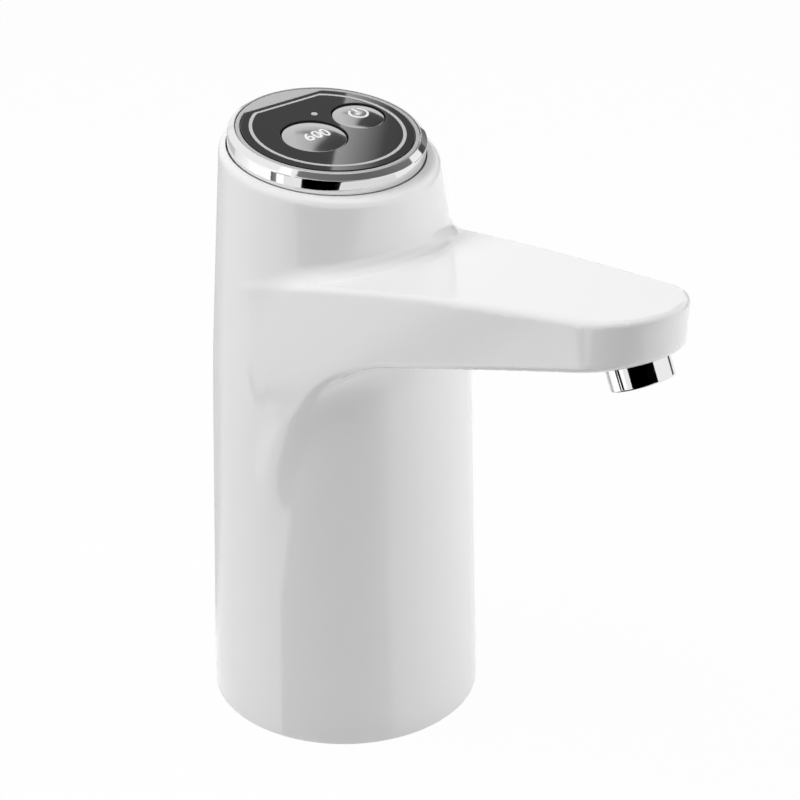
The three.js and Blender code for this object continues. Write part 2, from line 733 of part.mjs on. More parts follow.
// A screw whose head sits below zero and whose shank rises from it
function screw(length) {
  return turned([
    [0, -SCREW_HEAD_HEIGHT],
    [SCREW_HEAD_RADIUS, -SCREW_HEAD_HEIGHT],
    [SCREW_HEAD_RADIUS, 0],
    [SCREW_RADIUS, 0],
    [SCREW_RADIUS, length],
    [0, length],
  ], SMALL_FACETS);
}

// Neck socket

const cavityRadius = (z) => draftRadius(z) - WALL;

function neckSleeve() {
  const top = SOCKET_DEPTH - GAP;
  const outer = neckRadius + SLEEVE_WALL;
  const height = top - SLEEVE_BOTTOM;
  const section = [[neckRadius, SLEEVE_BOTTOM]];
  const ribLows = [SLEEVE_BOTTOM, (SLEEVE_BOTTOM + top - SLEEVE_RIB) / 2, top - SLEEVE_RIB];
  for (const low of ribLows) {
    const high = low + SLEEVE_RIB;
    section.push([outer, low], [cavityRadius(low) - GAP, low]);
    section.push([cavityRadius(high) - GAP, high], [outer, high]);
  }
  section.splice(1, 1);
  section.pop();
  section.push([neckRadius, top]);
  for (const share of [...SLEEVE_LIP_SHARES].reverse()) {
    const middle = SLEEVE_BOTTOM + height * share;
    section.push([neckRadius, middle + SLEEVE_LIP * 2], [neckRadius - SLEEVE_LIP, middle]);
    section.push([neckRadius, middle - SLEEVE_LIP * 2]);
  }
  return turned(section, RING_FACETS);
}

const neckSeal = () => {
  const top = SOCKET_DEPTH - GAP;
  const bore = Math.hypot(nippleX, meshY) + NIPPLE_RADIUS + SEAL_CLEARANCE;
  return pipe(bore, neckRadius - GAP, top - SEAL_THICKNESS, top, RING_FACETS);
};

// Chassis: floor, battery well, motor clamp and posts in one piece

const nippleX = MOTOR.x - PORT_OFFSET;
const screwSeat = SOCKET_DEPTH + SCREW_HEAD_HEIGHT + GAP * 2;

function chassis() {
  const wellRadius = CELL_RADIUS + GAP;
  const clampRadius = MOTOR_RADIUS + GAP;
  const floorRadius = cavityRadius(floorTop) - GAP;
  const webLow = MOTOR.x + clampRadius + WELL_WALL / 2;
  const webHigh = BATTERY.x - wellRadius - WELL_WALL / 2;
  const webY = (MOTOR.y + BATTERY.y) / 2;
  const pumpScrews = pumpScrewPlaces();
  let body = join(
    rod(floorRadius, SOCKET_DEPTH, floorTop, RING_FACETS),
    rod(wellRadius + WELL_WALL, SOCKET_DEPTH, floorTop + WELL_HEIGHT, ROUND_FACETS)
      .translate(BATTERY.x, BATTERY.y, 0),
    rod(clampRadius + WELL_WALL, CLAMP_LOW, CLAMP_HIGH).translate(MOTOR.x, MOTOR.y, 0),
    block([webLow, webY - CLAMP_WEB / 2, CLAMP_LOW], [webHigh, webY + CLAMP_WEB / 2, CLAMP_HIGH]),
    ...pumpScrews.map(({ x, y }) =>
      rod(STANDOFF_RADIUS, SOCKET_DEPTH, floorTop + PUMP_STANDOFF, SMALL_FACETS).translate(x, y, 0)),
    ...[-1, 1].map((side) =>
      rod(CHARGE_POST.radius, SOCKET_DEPTH, CHARGE_HEIGHT - GAP, SMALL_FACETS)
        .translate(side * CHARGE_POST.x, chargePostY, 0)),
  );
  body = cut(
    body,
    rod(wellRadius, floorTop, floorTop + WELL_HEIGHT + OVERRUN).translate(BATTERY.x, BATTERY.y, 0),
    rod(clampRadius, CLAMP_LOW - OVERRUN, CLAMP_HIGH + OVERRUN).translate(MOTOR.x, MOTOR.y, 0),
    rod(NIPPLE_RADIUS + GAP, SOCKET_DEPTH - OVERRUN, floorTop + OVERRUN).translate(nippleX, meshY, 0),
    rod(NIPPLE_FLANGE_RADIUS - GAP, floorTop - NIPPLE_RING_DEPTH, floorTop + OVERRUN)
      .translate(nippleX, meshY, 0),
  );
  const places = [...pumpScrews, ...PILLAR_ANGLES.map((angle) => polar(pillarReach, angle))];
  for (const { x, y } of places) {
    body = cut(
      body,
      rod(SCREW_RADIUS + GAP, SOCKET_DEPTH - OVERRUN, coverBottom, SMALL_FACETS).translate(x, y, 0),
      rod(SCREW_HEAD_RADIUS + GAP, SOCKET_DEPTH - OVERRUN, screwSeat, SMALL_FACETS).translate(x, y, 0),
    );
  }
  for (const side of [-1, 1]) {
    const low = CHARGE_HEIGHT - CHARGE_SCREW_LENGTH - OVERRUN;
    body = cut(body, rod(SCREW_RADIUS + GAP, low, CHARGE_HEIGHT, SMALL_FACETS)
      .translate(side * CHARGE_POST.x, chargePostY, 0));
  }
  return body;
}

// Gear pump

function pumpScrewPlaces() {
  const { x, y } = PUMP_BACK_SCREW;
  const places = [{ x, y }, { x: -x, y }, PUMP_FRONT_SCREW];
  return places.map((place) => ({ x: MOTOR.x + place.x, y: MOTOR.y + place.y }));
}

// The outline round the motor's end and the idler, straight between them
function pumpOutline() {
  const taper = Math.asin((PUMP_MOTOR_END_RADIUS - PUMP_FRONT_RADIUS) / gearSpacing);
  const shape = new THREE.Shape();
  shape.absarc(MOTOR.x, MOTOR.y, PUMP_MOTOR_END_RADIUS, -taper, Math.PI + taper);
  shape.absarc(MOTOR.x, idlerY, PUMP_FRONT_RADIUS, Math.PI + taper, 2 * Math.PI - taper);
  return shape;
}

const tipRadius = GEAR_MODULE * (GEAR_TEETH / 2 + TOOTH_ADDENDUM_SHARE);

// The room for both gears and the chambers beside their mesh
function gearRoom(low, high) {
  const radius = tipRadius + GAP;
  return join(
    rod(radius, low, high).translate(MOTOR.x, MOTOR.y, 0),
    rod(radius, low, high).translate(MOTOR.x, idlerY, 0),
    block(
      [MOTOR.x - PORT_OFFSET - PORT_RADIUS / 2, meshY - PORT_CHAMBER / 2, low],
      [MOTOR.x + PORT_OFFSET + PORT_RADIUS / 2, meshY + PORT_CHAMBER / 2, high],
    ),
  );
}

function pumpHoles(low, high) {
  return pumpScrewPlaces().map(({ x, y }) =>
    rod(SCREW_RADIUS + GAP, low, high, SMALL_FACETS).translate(x, y, 0));
}

function pumpBody() {
  const channelZ = (gearBottom + gearTop) / 2;
  const screwTop = screwSeat + PUMP_SCREW_LENGTH + GAP;
  let body = join(
    plate(pumpOutline(), pumpBottom, pumpTop, SMALL_FACETS * 2),
    rod(OUTLET_LUG_RADIUS, pumpBottom, pumpTop).translate(OUTLET.x, OUTLET.y, 0),
    rod(BARB_RADIUS, pumpTop - OVERRUN, pumpTop + BARB_REACH).translate(OUTLET.x, OUTLET.y, 0),
  );
  body = body.subtract(gearRoom(pumpBottom - OVERRUN, gearTop + GAP));
  const sealFloor = pumpTop - SHAFT_SEAL_THICKNESS - GAP * 2;
  return cut(
    body,
    block(
      [MOTOR.x + PORT_OFFSET, meshY - CHANNEL_RADIUS, channelZ - CHANNEL_RADIUS],
      [OUTLET.x + CHANNEL_RADIUS, meshY + CHANNEL_RADIUS, channelZ + CHANNEL_RADIUS],
    ),
    block(
      [OUTLET.x - CHANNEL_RADIUS, OUTLET.y - CHANNEL_RADIUS, channelZ - CHANNEL_RADIUS],
      [OUTLET.x + CHANNEL_RADIUS, meshY + CHANNEL_RADIUS, channelZ + CHANNEL_RADIUS],
    ),
    rod(BARB_BORE, channelZ, pumpTop + BARB_REACH + OVERRUN).translate(OUTLET.x, OUTLET.y, 0),
    rod(SHAFT_RADIUS + GAP, gearTop, pumpTop + OVERRUN, SMALL_FACETS).translate(MOTOR.x, MOTOR.y, 0),
    rod(SHAFT_SEAL_RADIUS + GAP, sealFloor, pumpTop + OVERRUN).translate(MOTOR.x, MOTOR.y, 0),
    rod(SHAFT_RADIUS + GAP, gearTop, gearTop + GAP * 2 + IDLER_HOLD, SMALL_FACETS)
      .translate(MOTOR.x, idlerY, 0),
    ...pumpHoles(pumpBottom - OVERRUN, screwTop),
  );
}

function pumpCover() {
  return cut(
    solid(plate(pumpOutline(), coverBottom, coverTop, SMALL_FACETS * 2)),
    rod(PORT_RADIUS, coverBottom - OVERRUN, coverTop + OVERRUN, SMALL_FACETS).translate(nippleX, meshY, 0),
    ...pumpHoles(coverBottom - OVERRUN, coverTop + OVERRUN),
  );
}

function pumpGasket() {
  const low = gasketBottom - OVERRUN;
  const high = pumpBottom;
  return cut(
    solid(plate(pumpOutline(), gasketBottom, gasketBottom + GASKET_THICKNESS, SMALL_FACETS * 2))
      .subtract(gearRoom(low, high)),
    ...pumpHoles(low, high),
  );
}

const involute = (angle) => Math.tan(angle) - angle;

// A spur gear with involute flanks. One tooth, or one gap when half a pitch on, points to +X.
function gear(halfPitchOn) {
  const pitchRadius = (GEAR_MODULE * GEAR_TEETH) / 2;
  const rootRadius = pitchRadius - GEAR_MODULE * TOOTH_DEDENDUM_SHARE;
  const baseRadius = pitchRadius * Math.cos(radians(PRESSURE_ANGLE));
  const pitchAngle = (2 * Math.PI) / GEAR_TEETH;
  const halfAngle = (radius) => (pitchAngle * TOOTH_THICKNESS_SHARE) / 2
    + involute(radians(PRESSURE_ANGLE)) - involute(Math.acos(Math.min(1, baseRadius / radius)));
  const flank = TOOTH_STEP_SHARES.map((share) => rootRadius + (tipRadius - rootRadius) * share);
  const points = [];
  for (let tooth = 0; tooth < GEAR_TEETH; tooth++) {
    const middle = pitchAngle * (tooth + (halfPitchOn ? 0.5 : 0));
    const at = (radius, side) => {
      const angle = middle + side * halfAngle(radius);
      points.push(new THREE.Vector2(radius * Math.cos(angle), radius * Math.sin(angle)));
    };
    flank.forEach((radius) => at(radius, -1));
    [...flank].reverse().forEach((radius) => at(radius, 1));
  }
  const shape = new THREE.Shape(points);
  shape.holes.push(circle(SHAFT_RADIUS + GAP));
  return plate(shape, gearBottom, gearTop, SMALL_FACETS);
}

// Intake nipple with two barbs

function intakeNipple() {
  const flangeBottom = floorTop + GAP;
  const section = [[NIPPLE_BORE, NIPPLE_BOTTOM], [NIPPLE_RADIUS, NIPPLE_BOTTOM]];
  for (const count of [1, 2]) {
    const edge = NIPPLE_BOTTOM + NIPPLE_BARB_PITCH * count;
    section.push([NIPPLE_RADIUS + NIPPLE_BARB, edge], [NIPPLE_RADIUS, edge + NIPPLE_BARB]);
  }
  section.push(
    [NIPPLE_RADIUS, flangeBottom],
    [NIPPLE_FLANGE_RADIUS, flangeBottom],
    [NIPPLE_FLANGE_RADIUS, flangeBottom + NIPPLE_FLANGE_THICKNESS],
    [NIPPLE_BORE, flangeBottom + NIPPLE_FLANGE_THICKNESS],
  );
  return turned(section);
}

// Motor

const motorSection = () => [
  [BUSH_RADIUS + GAP, motorBottom],
  [MOTOR_RADIUS, motorBottom],
  [MOTOR_RADIUS, motorTop],
  [MOTOR_RADIUS - MOTOR_WALL, motorTop],
  [MOTOR_RADIUS - MOTOR_WALL, motorBottom + MOTOR_WALL],
  [BUSH_RADIUS + GAP, motorBottom + MOTOR_WALL],
];

const rotorLow = motorBottom + ROTOR_LIFT;
const rotorHigh = rotorLow + ROTOR_LENGTH;

function motorRotor() {
  const commutatorLow = rotorHigh + OVERRUN;
  const rotor = solid(turned([
    [0, gearBottom],
    [SHAFT_RADIUS, gearBottom],
    [SHAFT_RADIUS, rotorLow],
    [ROTOR_RADIUS, rotorLow],
    [ROTOR_RADIUS, rotorHigh],
    [SHAFT_RADIUS, rotorHigh],
    [SHAFT_RADIUS, commutatorLow],
    [COMMUTATOR_RADIUS, commutatorLow],
    [COMMUTATOR_RADIUS, commutatorLow + COMMUTATOR_LENGTH],
    [SHAFT_RADIUS, commutatorLow + COMMUTATOR_LENGTH],
    [SHAFT_RADIUS, bellTop + SHAFT_TAIL],
    [0, bellTop + SHAFT_TAIL],
  ]));
  const slots = [0, 120, 240].map((angle) =>
    block(
      [ROTOR_RADIUS - ROTOR_SLOT_DEPTH, -ROTOR_SLOT / 2, rotorLow - OVERRUN],
      [ROTOR_RADIUS + OVERRUN, ROTOR_SLOT / 2, rotorHigh + OVERRUN / 2],
    ).rotateZ(radians(angle)));
  return cut(rotor, ...slots);
}

function motorMagnet(facing) {
  const outer = MOTOR_RADIUS - MOTOR_WALL - GAP;
  const from = radians(facing - MAGNET_HALF_ANGLE);
  const to = radians(facing + MAGNET_HALF_ANGLE);
  const shape = new THREE.Shape();
  shape.absarc(0, 0, outer, from, to);
  shape.absarc(0, 0, outer - MAGNET_THICKNESS, to, from, true);
  return plate(shape, rotorLow - OVERRUN, rotorHigh + OVERRUN, SMALL_FACETS);
}

function motorEndBell() {
  const low = motorTop + GAP;
  const spigot = MOTOR_RADIUS - MOTOR_WALL - GAP;
  const plain = join(
    rod(MOTOR_RADIUS, low, bellTop),
    rod(spigot, low - GAP - MOTOR_WALL, low + MOTOR_WALL),
    ...[-1, 1].map((side) => block(
      [side * TERMINAL.offset - TERMINAL.width / 2, -TERMINAL.thickness / 2, bellTop - MOTOR_WALL],
      [side * TERMINAL.offset + TERMINAL.width / 2, TERMINAL.thickness / 2, bellTop + TERMINAL.height],
    )),
  );
  return cut(plain, rod(SHAFT_RADIUS + GAP, low - MOTOR_WALL * 2, bellTop + OVERRUN, SMALL_FACETS));
}

// Battery

const batteryCell = () => turned([
  [0, cellBottom],
  [CELL_RADIUS - CELL_ROUND, cellBottom],
  [CELL_RADIUS, cellBottom + CELL_ROUND],
  [CELL_RADIUS, cellBottom + CELL_LENGTH - CELL_ROUND],
  [CELL_RADIUS - CELL_ROUND, cellBottom + CELL_LENGTH],
  [CELL_POLE_RADIUS, cellBottom + CELL_LENGTH],
  [CELL_POLE_RADIUS, cellTop],
  [0, cellTop],
]);

// Charging board and socket

function chargeBoard() {
  const { halfWidth, inset, reach, thickness } = CHARGE_BOARD;
  const back = BASE_RADIUS - inset;
  return cut(
    solid(block([-halfWidth, back - reach, CHARGE_HEIGHT], [halfWidth, back, CHARGE_HEIGHT + thickness])),
    ...[-1, 1].map((side) =>
      rod(SCREW_RADIUS + GAP, CHARGE_HEIGHT - OVERRUN, CHARGE_HEIGHT + thickness + OVERRUN, SMALL_FACETS)
        .translate(side * CHARGE_POST.x, chargePostY, 0)),
  );
}

function chargeSocket() {
  const { halfWidth, height, reach, wall, depth } = SOCKET;
  const back = socketBack;
  const low = socketMiddle() - height / 2;
  const can = cut(
    solid(block([-halfWidth, back - reach, low], [halfWidth, back, low + height])),
    block([wall - halfWidth, back - depth, low + wall],
      [halfWidth - wall, back + OVERRUN, low + height - wall]),
  );
  const tongue = SOCKET_TONGUE;
  return can.add(solid(block(
    [-tongue.halfWidth, back - depth - wall, socketMiddle() - tongue.thickness / 2],
    [tongue.halfWidth, back - depth + tongue.reach, socketMiddle() + tongue.thickness / 2],
  )));
}

// Nozzle, in its own frame: the outlet is at zero and the arm is above

function nozzle() {
  const flangeLow = NOZZLE_SEAT + GAP;
  const flangeHigh = flangeLow + NOZZLE_FLANGE_THICKNESS;
  return turned([
    [nozzleBore + NOZZLE_LIP, 0],
    [NOZZLE_RADIUS - NOZZLE_LIP, 0],
    [NOZZLE_RADIUS, NOZZLE_LIP],
    [NOZZLE_RADIUS, flangeLow],
    [NOZZLE_FLANGE_RADIUS, flangeLow],
    [NOZZLE_FLANGE_RADIUS, flangeHigh],
    [nozzleBore, flangeHigh],
    [nozzleBore, NOZZLE_LIP],
  ], RING_FACETS);
}

const sealHeight = NOZZLE_SEAT * NOZZLE_SEAL_SHARE;
const plugRadius = nozzleBore - GAP;

// The elbow's stub runs back along the arm from a point on the nozzle's axis
function stubPlace(geometry) {
  return geometry
    .rotateX(-Math.PI / 2 - radians(ELBOW_STUB_SLOPE) + radians(NOZZLE.tilt))
    .translate(0, 0, elbowTop + ELBOW_STUB_RISE);
}

function spoutElbow() {
  const groove = SEAL_CORD + GAP;
  const plain = join(
    turned([
      [0, NOZZLE_RECESS],
      [plugRadius, NOZZLE_RECESS],
      [plugRadius, sealHeight - groove],
      [plugRadius - SEAL_CORD * 2 - GAP, sealHeight - groove],
      [plugRadius - SEAL_CORD * 2 - GAP, sealHeight + groove],
      [plugRadius, sealHeight + groove],
      [plugRadius, elbowTop - ELBOW_FLANGE_THICKNESS],
      [ELBOW_FLANGE_RADIUS, elbowTop - ELBOW_FLANGE_THICKNESS],
      [ELBOW_FLANGE_RADIUS, elbowTop],
      [ELBOW_NECK_RADIUS, elbowTop],
      [ELBOW_NECK_RADIUS, elbowTop + ELBOW_NECK_HEIGHT],
      [0, elbowTop + ELBOW_NECK_HEIGHT],
    ]),
    stubPlace(rod(ELBOW_STUB_RADIUS, 0, ELBOW_STUB_LENGTH, SMALL_FACETS)),
    stubPlace(rod(BARB_RADIUS, 0, ELBOW_STUB_LENGTH + BARB_REACH, SMALL_FACETS)),
  );
  return cut(
    plain,
    rod(BARB_BORE, NOZZLE_RECESS - OVERRUN, elbowTop + ELBOW_STUB_RISE + BARB_BORE, SMALL_FACETS),
    turned([
      [0, NOZZLE_RECESS - GAP],
      [ELBOW_MOUTH_RADIUS, NOZZLE_RECESS - GAP],
      [BARB_BORE, NOZZLE_RECESS + ELBOW_MOUTH_RADIUS],
      [0, NOZZLE_RECESS + ELBOW_MOUTH_RADIUS],
    ]),
    stubPlace(rod(BARB_BORE, 0, ELBOW_STUB_LENGTH + BARB_REACH + OVERRUN, SMALL_FACETS)),
  );
}

// The tube's middle line: up beside the motor, round one bend and along the middle of the arm
function tubeRoute() {
  const middle = (y) => (armTop(y) + armUnder(y)) / 2;
  const up = new THREE.Vector3(0, 0, TUBE_BEND_PULL);
  const alongArm = new THREE.Vector3(0, -Math.cos(underSlope), Math.sin(underSlope))
    .multiplyScalar(TUBE_BEND_PULL);
  const bendStart = new THREE.Vector3(OUTLET.x, OUTLET.y, tubeBendStart);
  const bendEnd = new THREE.Vector3(0, TUBE_BEND_END_Y, middle(TUBE_BEND_END_Y));
  const bend = new THREE.CubicBezierCurve3(
    bendStart, bendStart.clone().add(up), bendEnd.clone().sub(alongArm), bendEnd);
  const stubAxis = new THREE.Vector3(0, 0, elbowTop + ELBOW_STUB_RISE).applyMatrix4(nozzleGroup.matrix);
  const slope = radians(ELBOW_STUB_SLOPE);
  const back = new THREE.Vector3(0, Math.cos(slope), -Math.sin(slope));
  const end = stubAxis.clone().addScaledVector(back, ELBOW_STUB_LENGTH + GAP);
  const nearEnd = stubAxis.clone().addScaledVector(back, ELBOW_STUB_LENGTH + BARB_REACH);
  const low = pumpTop + GAP;
  return new THREE.CatmullRomCurve3([
    new THREE.Vector3(OUTLET.x, OUTLET.y, low),
    new THREE.Vector3(OUTLET.x, OUTLET.y, low + BARB_REACH),
    new THREE.Vector3(OUTLET.x, OUTLET.y, (low + tubeBendStart) / 2),
    ...bend.getPoints(5),
    ...TUBE_END_SHARES.map((share) => bendEnd.clone().lerp(nearEnd, share)),
    nearEnd,
    end,
  ], false, 'centripetal');
}

function spoutTube() {
  const ring = circle(TUBE_RADIUS);
  ring.holes.push(circle(TUBE_BORE));
  return swept(ring, tubeRoute(), TUBE_STEPS);
}

// Wires: straight up out of one pad and straight up into the other

function lead(from, to) {
  const pull = (to.z - from.z) * LEAD_PULL_SHARE;
  const path = new THREE.CubicBezierCurve3(
    from,
    new THREE.Vector3(from.x, from.y, from.z + pull),
    new THREE.Vector3(to.x, to.y, to.z - pull),
    to,
  );
  return swept(circle(LEAD_RADIUS), path, LEAD_STEPS, LEAD_FACETS);
}

function boardPad(pads, side) {
  return new THREE.Vector3(pads.x + side * pads.spread, pads.y, boardUnderside - GAP)
    .applyMatrix4(panel.matrix);
}

// Materials

function finish(color, roughness, metalness = 0) {
  return { color, roughness, metalness };
}

const FINISHES = {
  shell: finish('#f2f2f1', 0.32),
  chrome: finish('#e6e7e8', 0.06, 1),
  silver: finish('#b9babb', 0.3, 0.85),
  lens: finish('#1d1d1e', 0.12),
  button: finish('#8f9092', 0.25, 0.3),
  clear: finish('#eef3f4', 0.08),
  silicone: finish('#d9dcdc', 0.55),
  rubber: finish('#2b2b2c', 0.8),
  inner: finish('#d6d7d6', 0.5),
  steel: finish('#a9acb0', 0.35, 0.9),
  magnet: finish('#3a3b3d', 0.6),
  brass: finish('#b79a55', 0.35, 0.9),
  gear: finish('#e4e0d2', 0.45),
  board: finish('#1f6b43', 0.5),
  cell: finish('#2f6fae', 0.4),
  red: finish('#c23128', 0.5),
  black: finish('#1b1b1c', 0.5),
};

function add(group, name, shape, finishName, place = {}) {
  const geometry = shape.isBufferGeometry ? shape : geometryOf(shape);
  const mesh = new THREE.Mesh(geometry, new THREE.MeshStandardMaterial(FINISHES[finishName]));
  mesh.name = name;
  mesh.position.set(place.x ?? 0, place.y ?? 0, place.z ?? 0);
  mesh.rotation.set(place.turnX ?? 0, 0, place.turnZ ?? 0);
  group.add(mesh);
}

// Assembly

const pump = new THREE.Group();
pump.add(panel, nozzleGroup);

add(pump, 'outer_shell', outerShell(), 'shell');

add(panel, 'trim_ring', trimRing(), 'chrome');
add(panel, 'panel_bezel', panelBezel(), 'silver');
add(panel, 'panel_lens', panelLens(), 'lens');
add(panel, 'led_light_pipe', lightPipe(), 'clear', light);
add(panel, 'status_led', statusLed(), 'inner', light);
add(panel, 'control_board', controlBoard(), 'board');
for (const [name, place] of [['dose', dose], ['power', power]]) {
  add(panel, `${name}_button`, button(place), 'button', place);
  add(panel, `${name}_plunger`, plunger(), 'black', place);
  add(panel, `${name}_switch`, tactSwitch(), 'black', place);
}
BOARD_POST_ANGLES.forEach((angle, i) => {
  const place = { ...polar(boardPostReach, angle), z: boardUnderside - GAP };
  add(panel, `board_screw_${i + 1}`, screw(BOARD_SCREW_LENGTH), 'steel', place);
});

add(pump, 'neck_sleeve', neckSleeve(), 'silicone');
add(pump, 'neck_seal', neckSeal(), 'silicone');
add(pump, 'chassis', chassis(), 'inner');
PILLAR_ANGLES.forEach((angle, i) => {
  const place = { ...polar(pillarReach, angle), z: screwSeat - GAP };
  add(pump, `chassis_screw_${i + 1}`, screw(CHASSIS_SCREW_LENGTH), 'steel', place);
});

add(pump, 'intake_nipple', intakeNipple(), 'inner', { x: nippleX, y: meshY });
const ringCord = (NIPPLE_RING_DEPTH - GAP) / 2;
add(pump, 'intake_o_ring', torus(NIPPLE_RADIUS + GAP + ringCord, ringCord, floorTop - ringCord), 'rubber',
  { x: nippleX, y: meshY });
add(pump, 'pump_cover', pumpCover(), 'inner');
add(pump, 'pump_gasket', pumpGasket(), 'rubber');
add(pump, 'pump_body', pumpBody(), 'inner');
add(pump, 'drive_gear', gear(false), 'gear', { ...MOTOR, turnZ: -Math.PI / 2 });
add(pump, 'driven_gear', gear(true), 'gear', { x: MOTOR.x, y: idlerY, turnZ: Math.PI / 2 });
add(pump, 'idler_pin', rod(SHAFT_RADIUS, gearBottom, gearTop + GAP + IDLER_HOLD, SMALL_FACETS), 'steel',
  { x: MOTOR.x, y: idlerY });
add(pump, 'shaft_seal', pipe(SHAFT_RADIUS + GAP, SHAFT_SEAL_RADIUS,
  pumpTop - GAP - SHAFT_SEAL_THICKNESS, pumpTop - GAP), 'rubber', MOTOR);
pumpScrewPlaces().forEach((place, i) => {
  add(pump, `pump_screw_${i + 1}`, screw(PUMP_SCREW_LENGTH), 'steel', { ...place, z: screwSeat - GAP });
});

add(pump, 'motor_can', turned(motorSection()), 'steel', MOTOR);
add(pump, 'motor_bush', pipe(SHAFT_RADIUS + GAP, BUSH_RADIUS, motorBottom, motorBottom + BUSH_LENGTH),
  'brass', MOTOR);
add(pump, 'motor_rotor', motorRotor(), 'steel', MOTOR);
add(pump, 'motor_magnet_left', motorMagnet(180), 'magnet', MOTOR);
add(pump, 'motor_magnet_right', motorMagnet(0), 'magnet', MOTOR);
add(pump, 'motor_end_bell', motorEndBell(), 'black', MOTOR);
add(pump, 'battery_cell', batteryCell(), 'cell', BATTERY);

add(pump, 'charge_board', chargeBoard(), 'board');
add(pump, 'charge_socket', chargeSocket(), 'steel');
for (const [name, side] of [['left', -1], ['right', 1]]) {
  const place = {
    x: side * CHARGE_POST.x,
    y: chargePostY,
    z: CHARGE_HEIGHT + CHARGE_BOARD.thickness + GAP,
    turnX: Math.PI,
  };
  add(pump, `charge_board_screw_${name}`, screw(CHARGE_SCREW_LENGTH), 'steel', place);
}

add(nozzleGroup, 'nozzle', nozzle(), 'chrome');
add(nozzleGroup, 'nozzle_o_ring', torus(plugRadius - SEAL_CORD, SEAL_CORD, sealHeight), 'rubber');
add(nozzleGroup, 'spout_elbow', spoutElbow(), 'inner');
add(pump, 'spout_tube', spoutTube(), 'silicone');

for (const [colour, side] of [['red', -1], ['black', 1]]) {
  const motorEnd = new THREE.Vector3(
    MOTOR.x + side * TERMINAL.offset, MOTOR.y, bellTop + TERMINAL.height + GAP);
  const cellEnd = new THREE.Vector3(
    BATTERY.x + side * BATTERY_PADS.spread / 2, BATTERY.y, cellTop + GAP);
  const chargeEnd = new THREE.Vector3(
    side * CHARGE_PADS.spread, BASE_RADIUS - CHARGE_LEAD_INSET, CHARGE_HEIGHT + CHARGE_BOARD.thickness + GAP);
  add(pump, `motor_lead_${colour}`, lead(motorEnd, boardPad(MOTOR_PADS, side)), colour);
  add(pump, `battery_lead_${colour}`, lead(cellEnd, boardPad(BATTERY_PADS, side)), colour);
  add(pump, `charge_lead_${colour}`, lead(chargeEnd, boardPad(CHARGE_PADS, side)), colour);
}

export default pump;
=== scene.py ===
import json
import math

import bmesh
import bpy
import numpy as np
from mathutils import Matrix, Vector


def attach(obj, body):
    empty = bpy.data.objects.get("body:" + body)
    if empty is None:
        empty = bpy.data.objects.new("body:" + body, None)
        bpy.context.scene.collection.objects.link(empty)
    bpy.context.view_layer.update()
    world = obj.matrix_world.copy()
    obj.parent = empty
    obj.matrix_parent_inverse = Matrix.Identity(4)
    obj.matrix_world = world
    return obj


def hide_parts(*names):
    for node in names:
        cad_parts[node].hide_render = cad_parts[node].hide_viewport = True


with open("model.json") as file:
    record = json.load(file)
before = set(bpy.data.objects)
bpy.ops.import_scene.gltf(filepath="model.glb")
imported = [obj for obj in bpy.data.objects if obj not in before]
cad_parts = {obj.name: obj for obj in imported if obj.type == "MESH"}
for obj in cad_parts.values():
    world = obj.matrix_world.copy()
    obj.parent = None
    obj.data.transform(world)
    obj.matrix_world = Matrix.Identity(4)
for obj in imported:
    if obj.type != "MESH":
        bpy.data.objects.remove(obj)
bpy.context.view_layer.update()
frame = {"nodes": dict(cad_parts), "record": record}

# Electric water jug pump. Lengths are in millimetres and angles in degrees. +Z is up, the spout
# points toward -Y and the origin is the centre of the base, as in the CAD source.
MM = 0.001
GAP = 0.3
WALL = 2.2

# Camera and studio
CAMERA_PLACE = (-369.61, -461.52, 394.55)
CAMERA_TARGET = (35.52, 19.01, 64.26)
CAMERA_LENS = 114.8
FLOOR_SIZE = 6000
FLOOR_SHADE = 0.82
FLOOR_WHITENESS = 0.96
FLOOR_MOTTLE_SHADE = 0.84
FLOOR_MOTTLE_SCALE = 6.0
AMBIENT = 0.45
LAMP_TARGET = (0, -30, 95)
LAMPS = {
    "top_softbox": {"place": (0, -30, 845), "size": 600, "radiance": 0.75},
    "left_softbox": {"place": (-329, 247, 709), "size": 500, "radiance": 3.7},
    "right_softbox": {"place": (593, -447, 289), "size": 450, "radiance": 3.6},
}

# Studio cards, which only mirrors and gloss show. Each is a list of strips, (corners, their glows),
# and a glow of 0 is black. The cards at a height of 0.5 to 1.5 lie on the floor.
BLACK_FLAG = [
    ([(-830, -272, 0), (-160, -1010, 0), (-160, -1010, 460), (-830, -272, 460)], (0, 0, 0, 0)),
    ([(-160, -1010, 0), (165, -1020, 0), (165, -1020, 460), (-160, -1010, 460)], (0, 0, 0, 0)),
]
RIGHT_FLAG = [
    ([(855, -280, 0), (760, 480, 0), (760, 480, 330), (855, -280, 330)], (0.05, 0.05, 0.3, 0.3)),
]
LIT_WALL = [
    ([(-992, -90, 0), (-640, 768, 0), (-640, 768, 420), (-992, -90, 420)], (1.25, 1.1, 0.95, 0.95)),
    ([(-640, 768, 0), (180, 950, 0), (180, 950, 420), (-640, 768, 420)], (1.1, 0.6, 0.93, 0.95)),
]
LIT_FLOOR = [
    ([(-33, -14, 0.5), (-980, -70, 0.5), (-640, 768, 0.5), (-23, 28, 0.5)], (1.25, 1.25, 1.1, 1.1)),
    ([(-23, 28, 0.5), (-640, 768, 0.5), (-200, 900, 0.5), (-8, 36, 0.5)], (1.1, 1.1, 0.65, 0.65)),
    ([(-8, 36, 0.5), (-200, 900, 0.5), (520, 740, 0.5), (20, 30, 0.5)], (0.65, 0.65, 0.45, 0.45)),
]
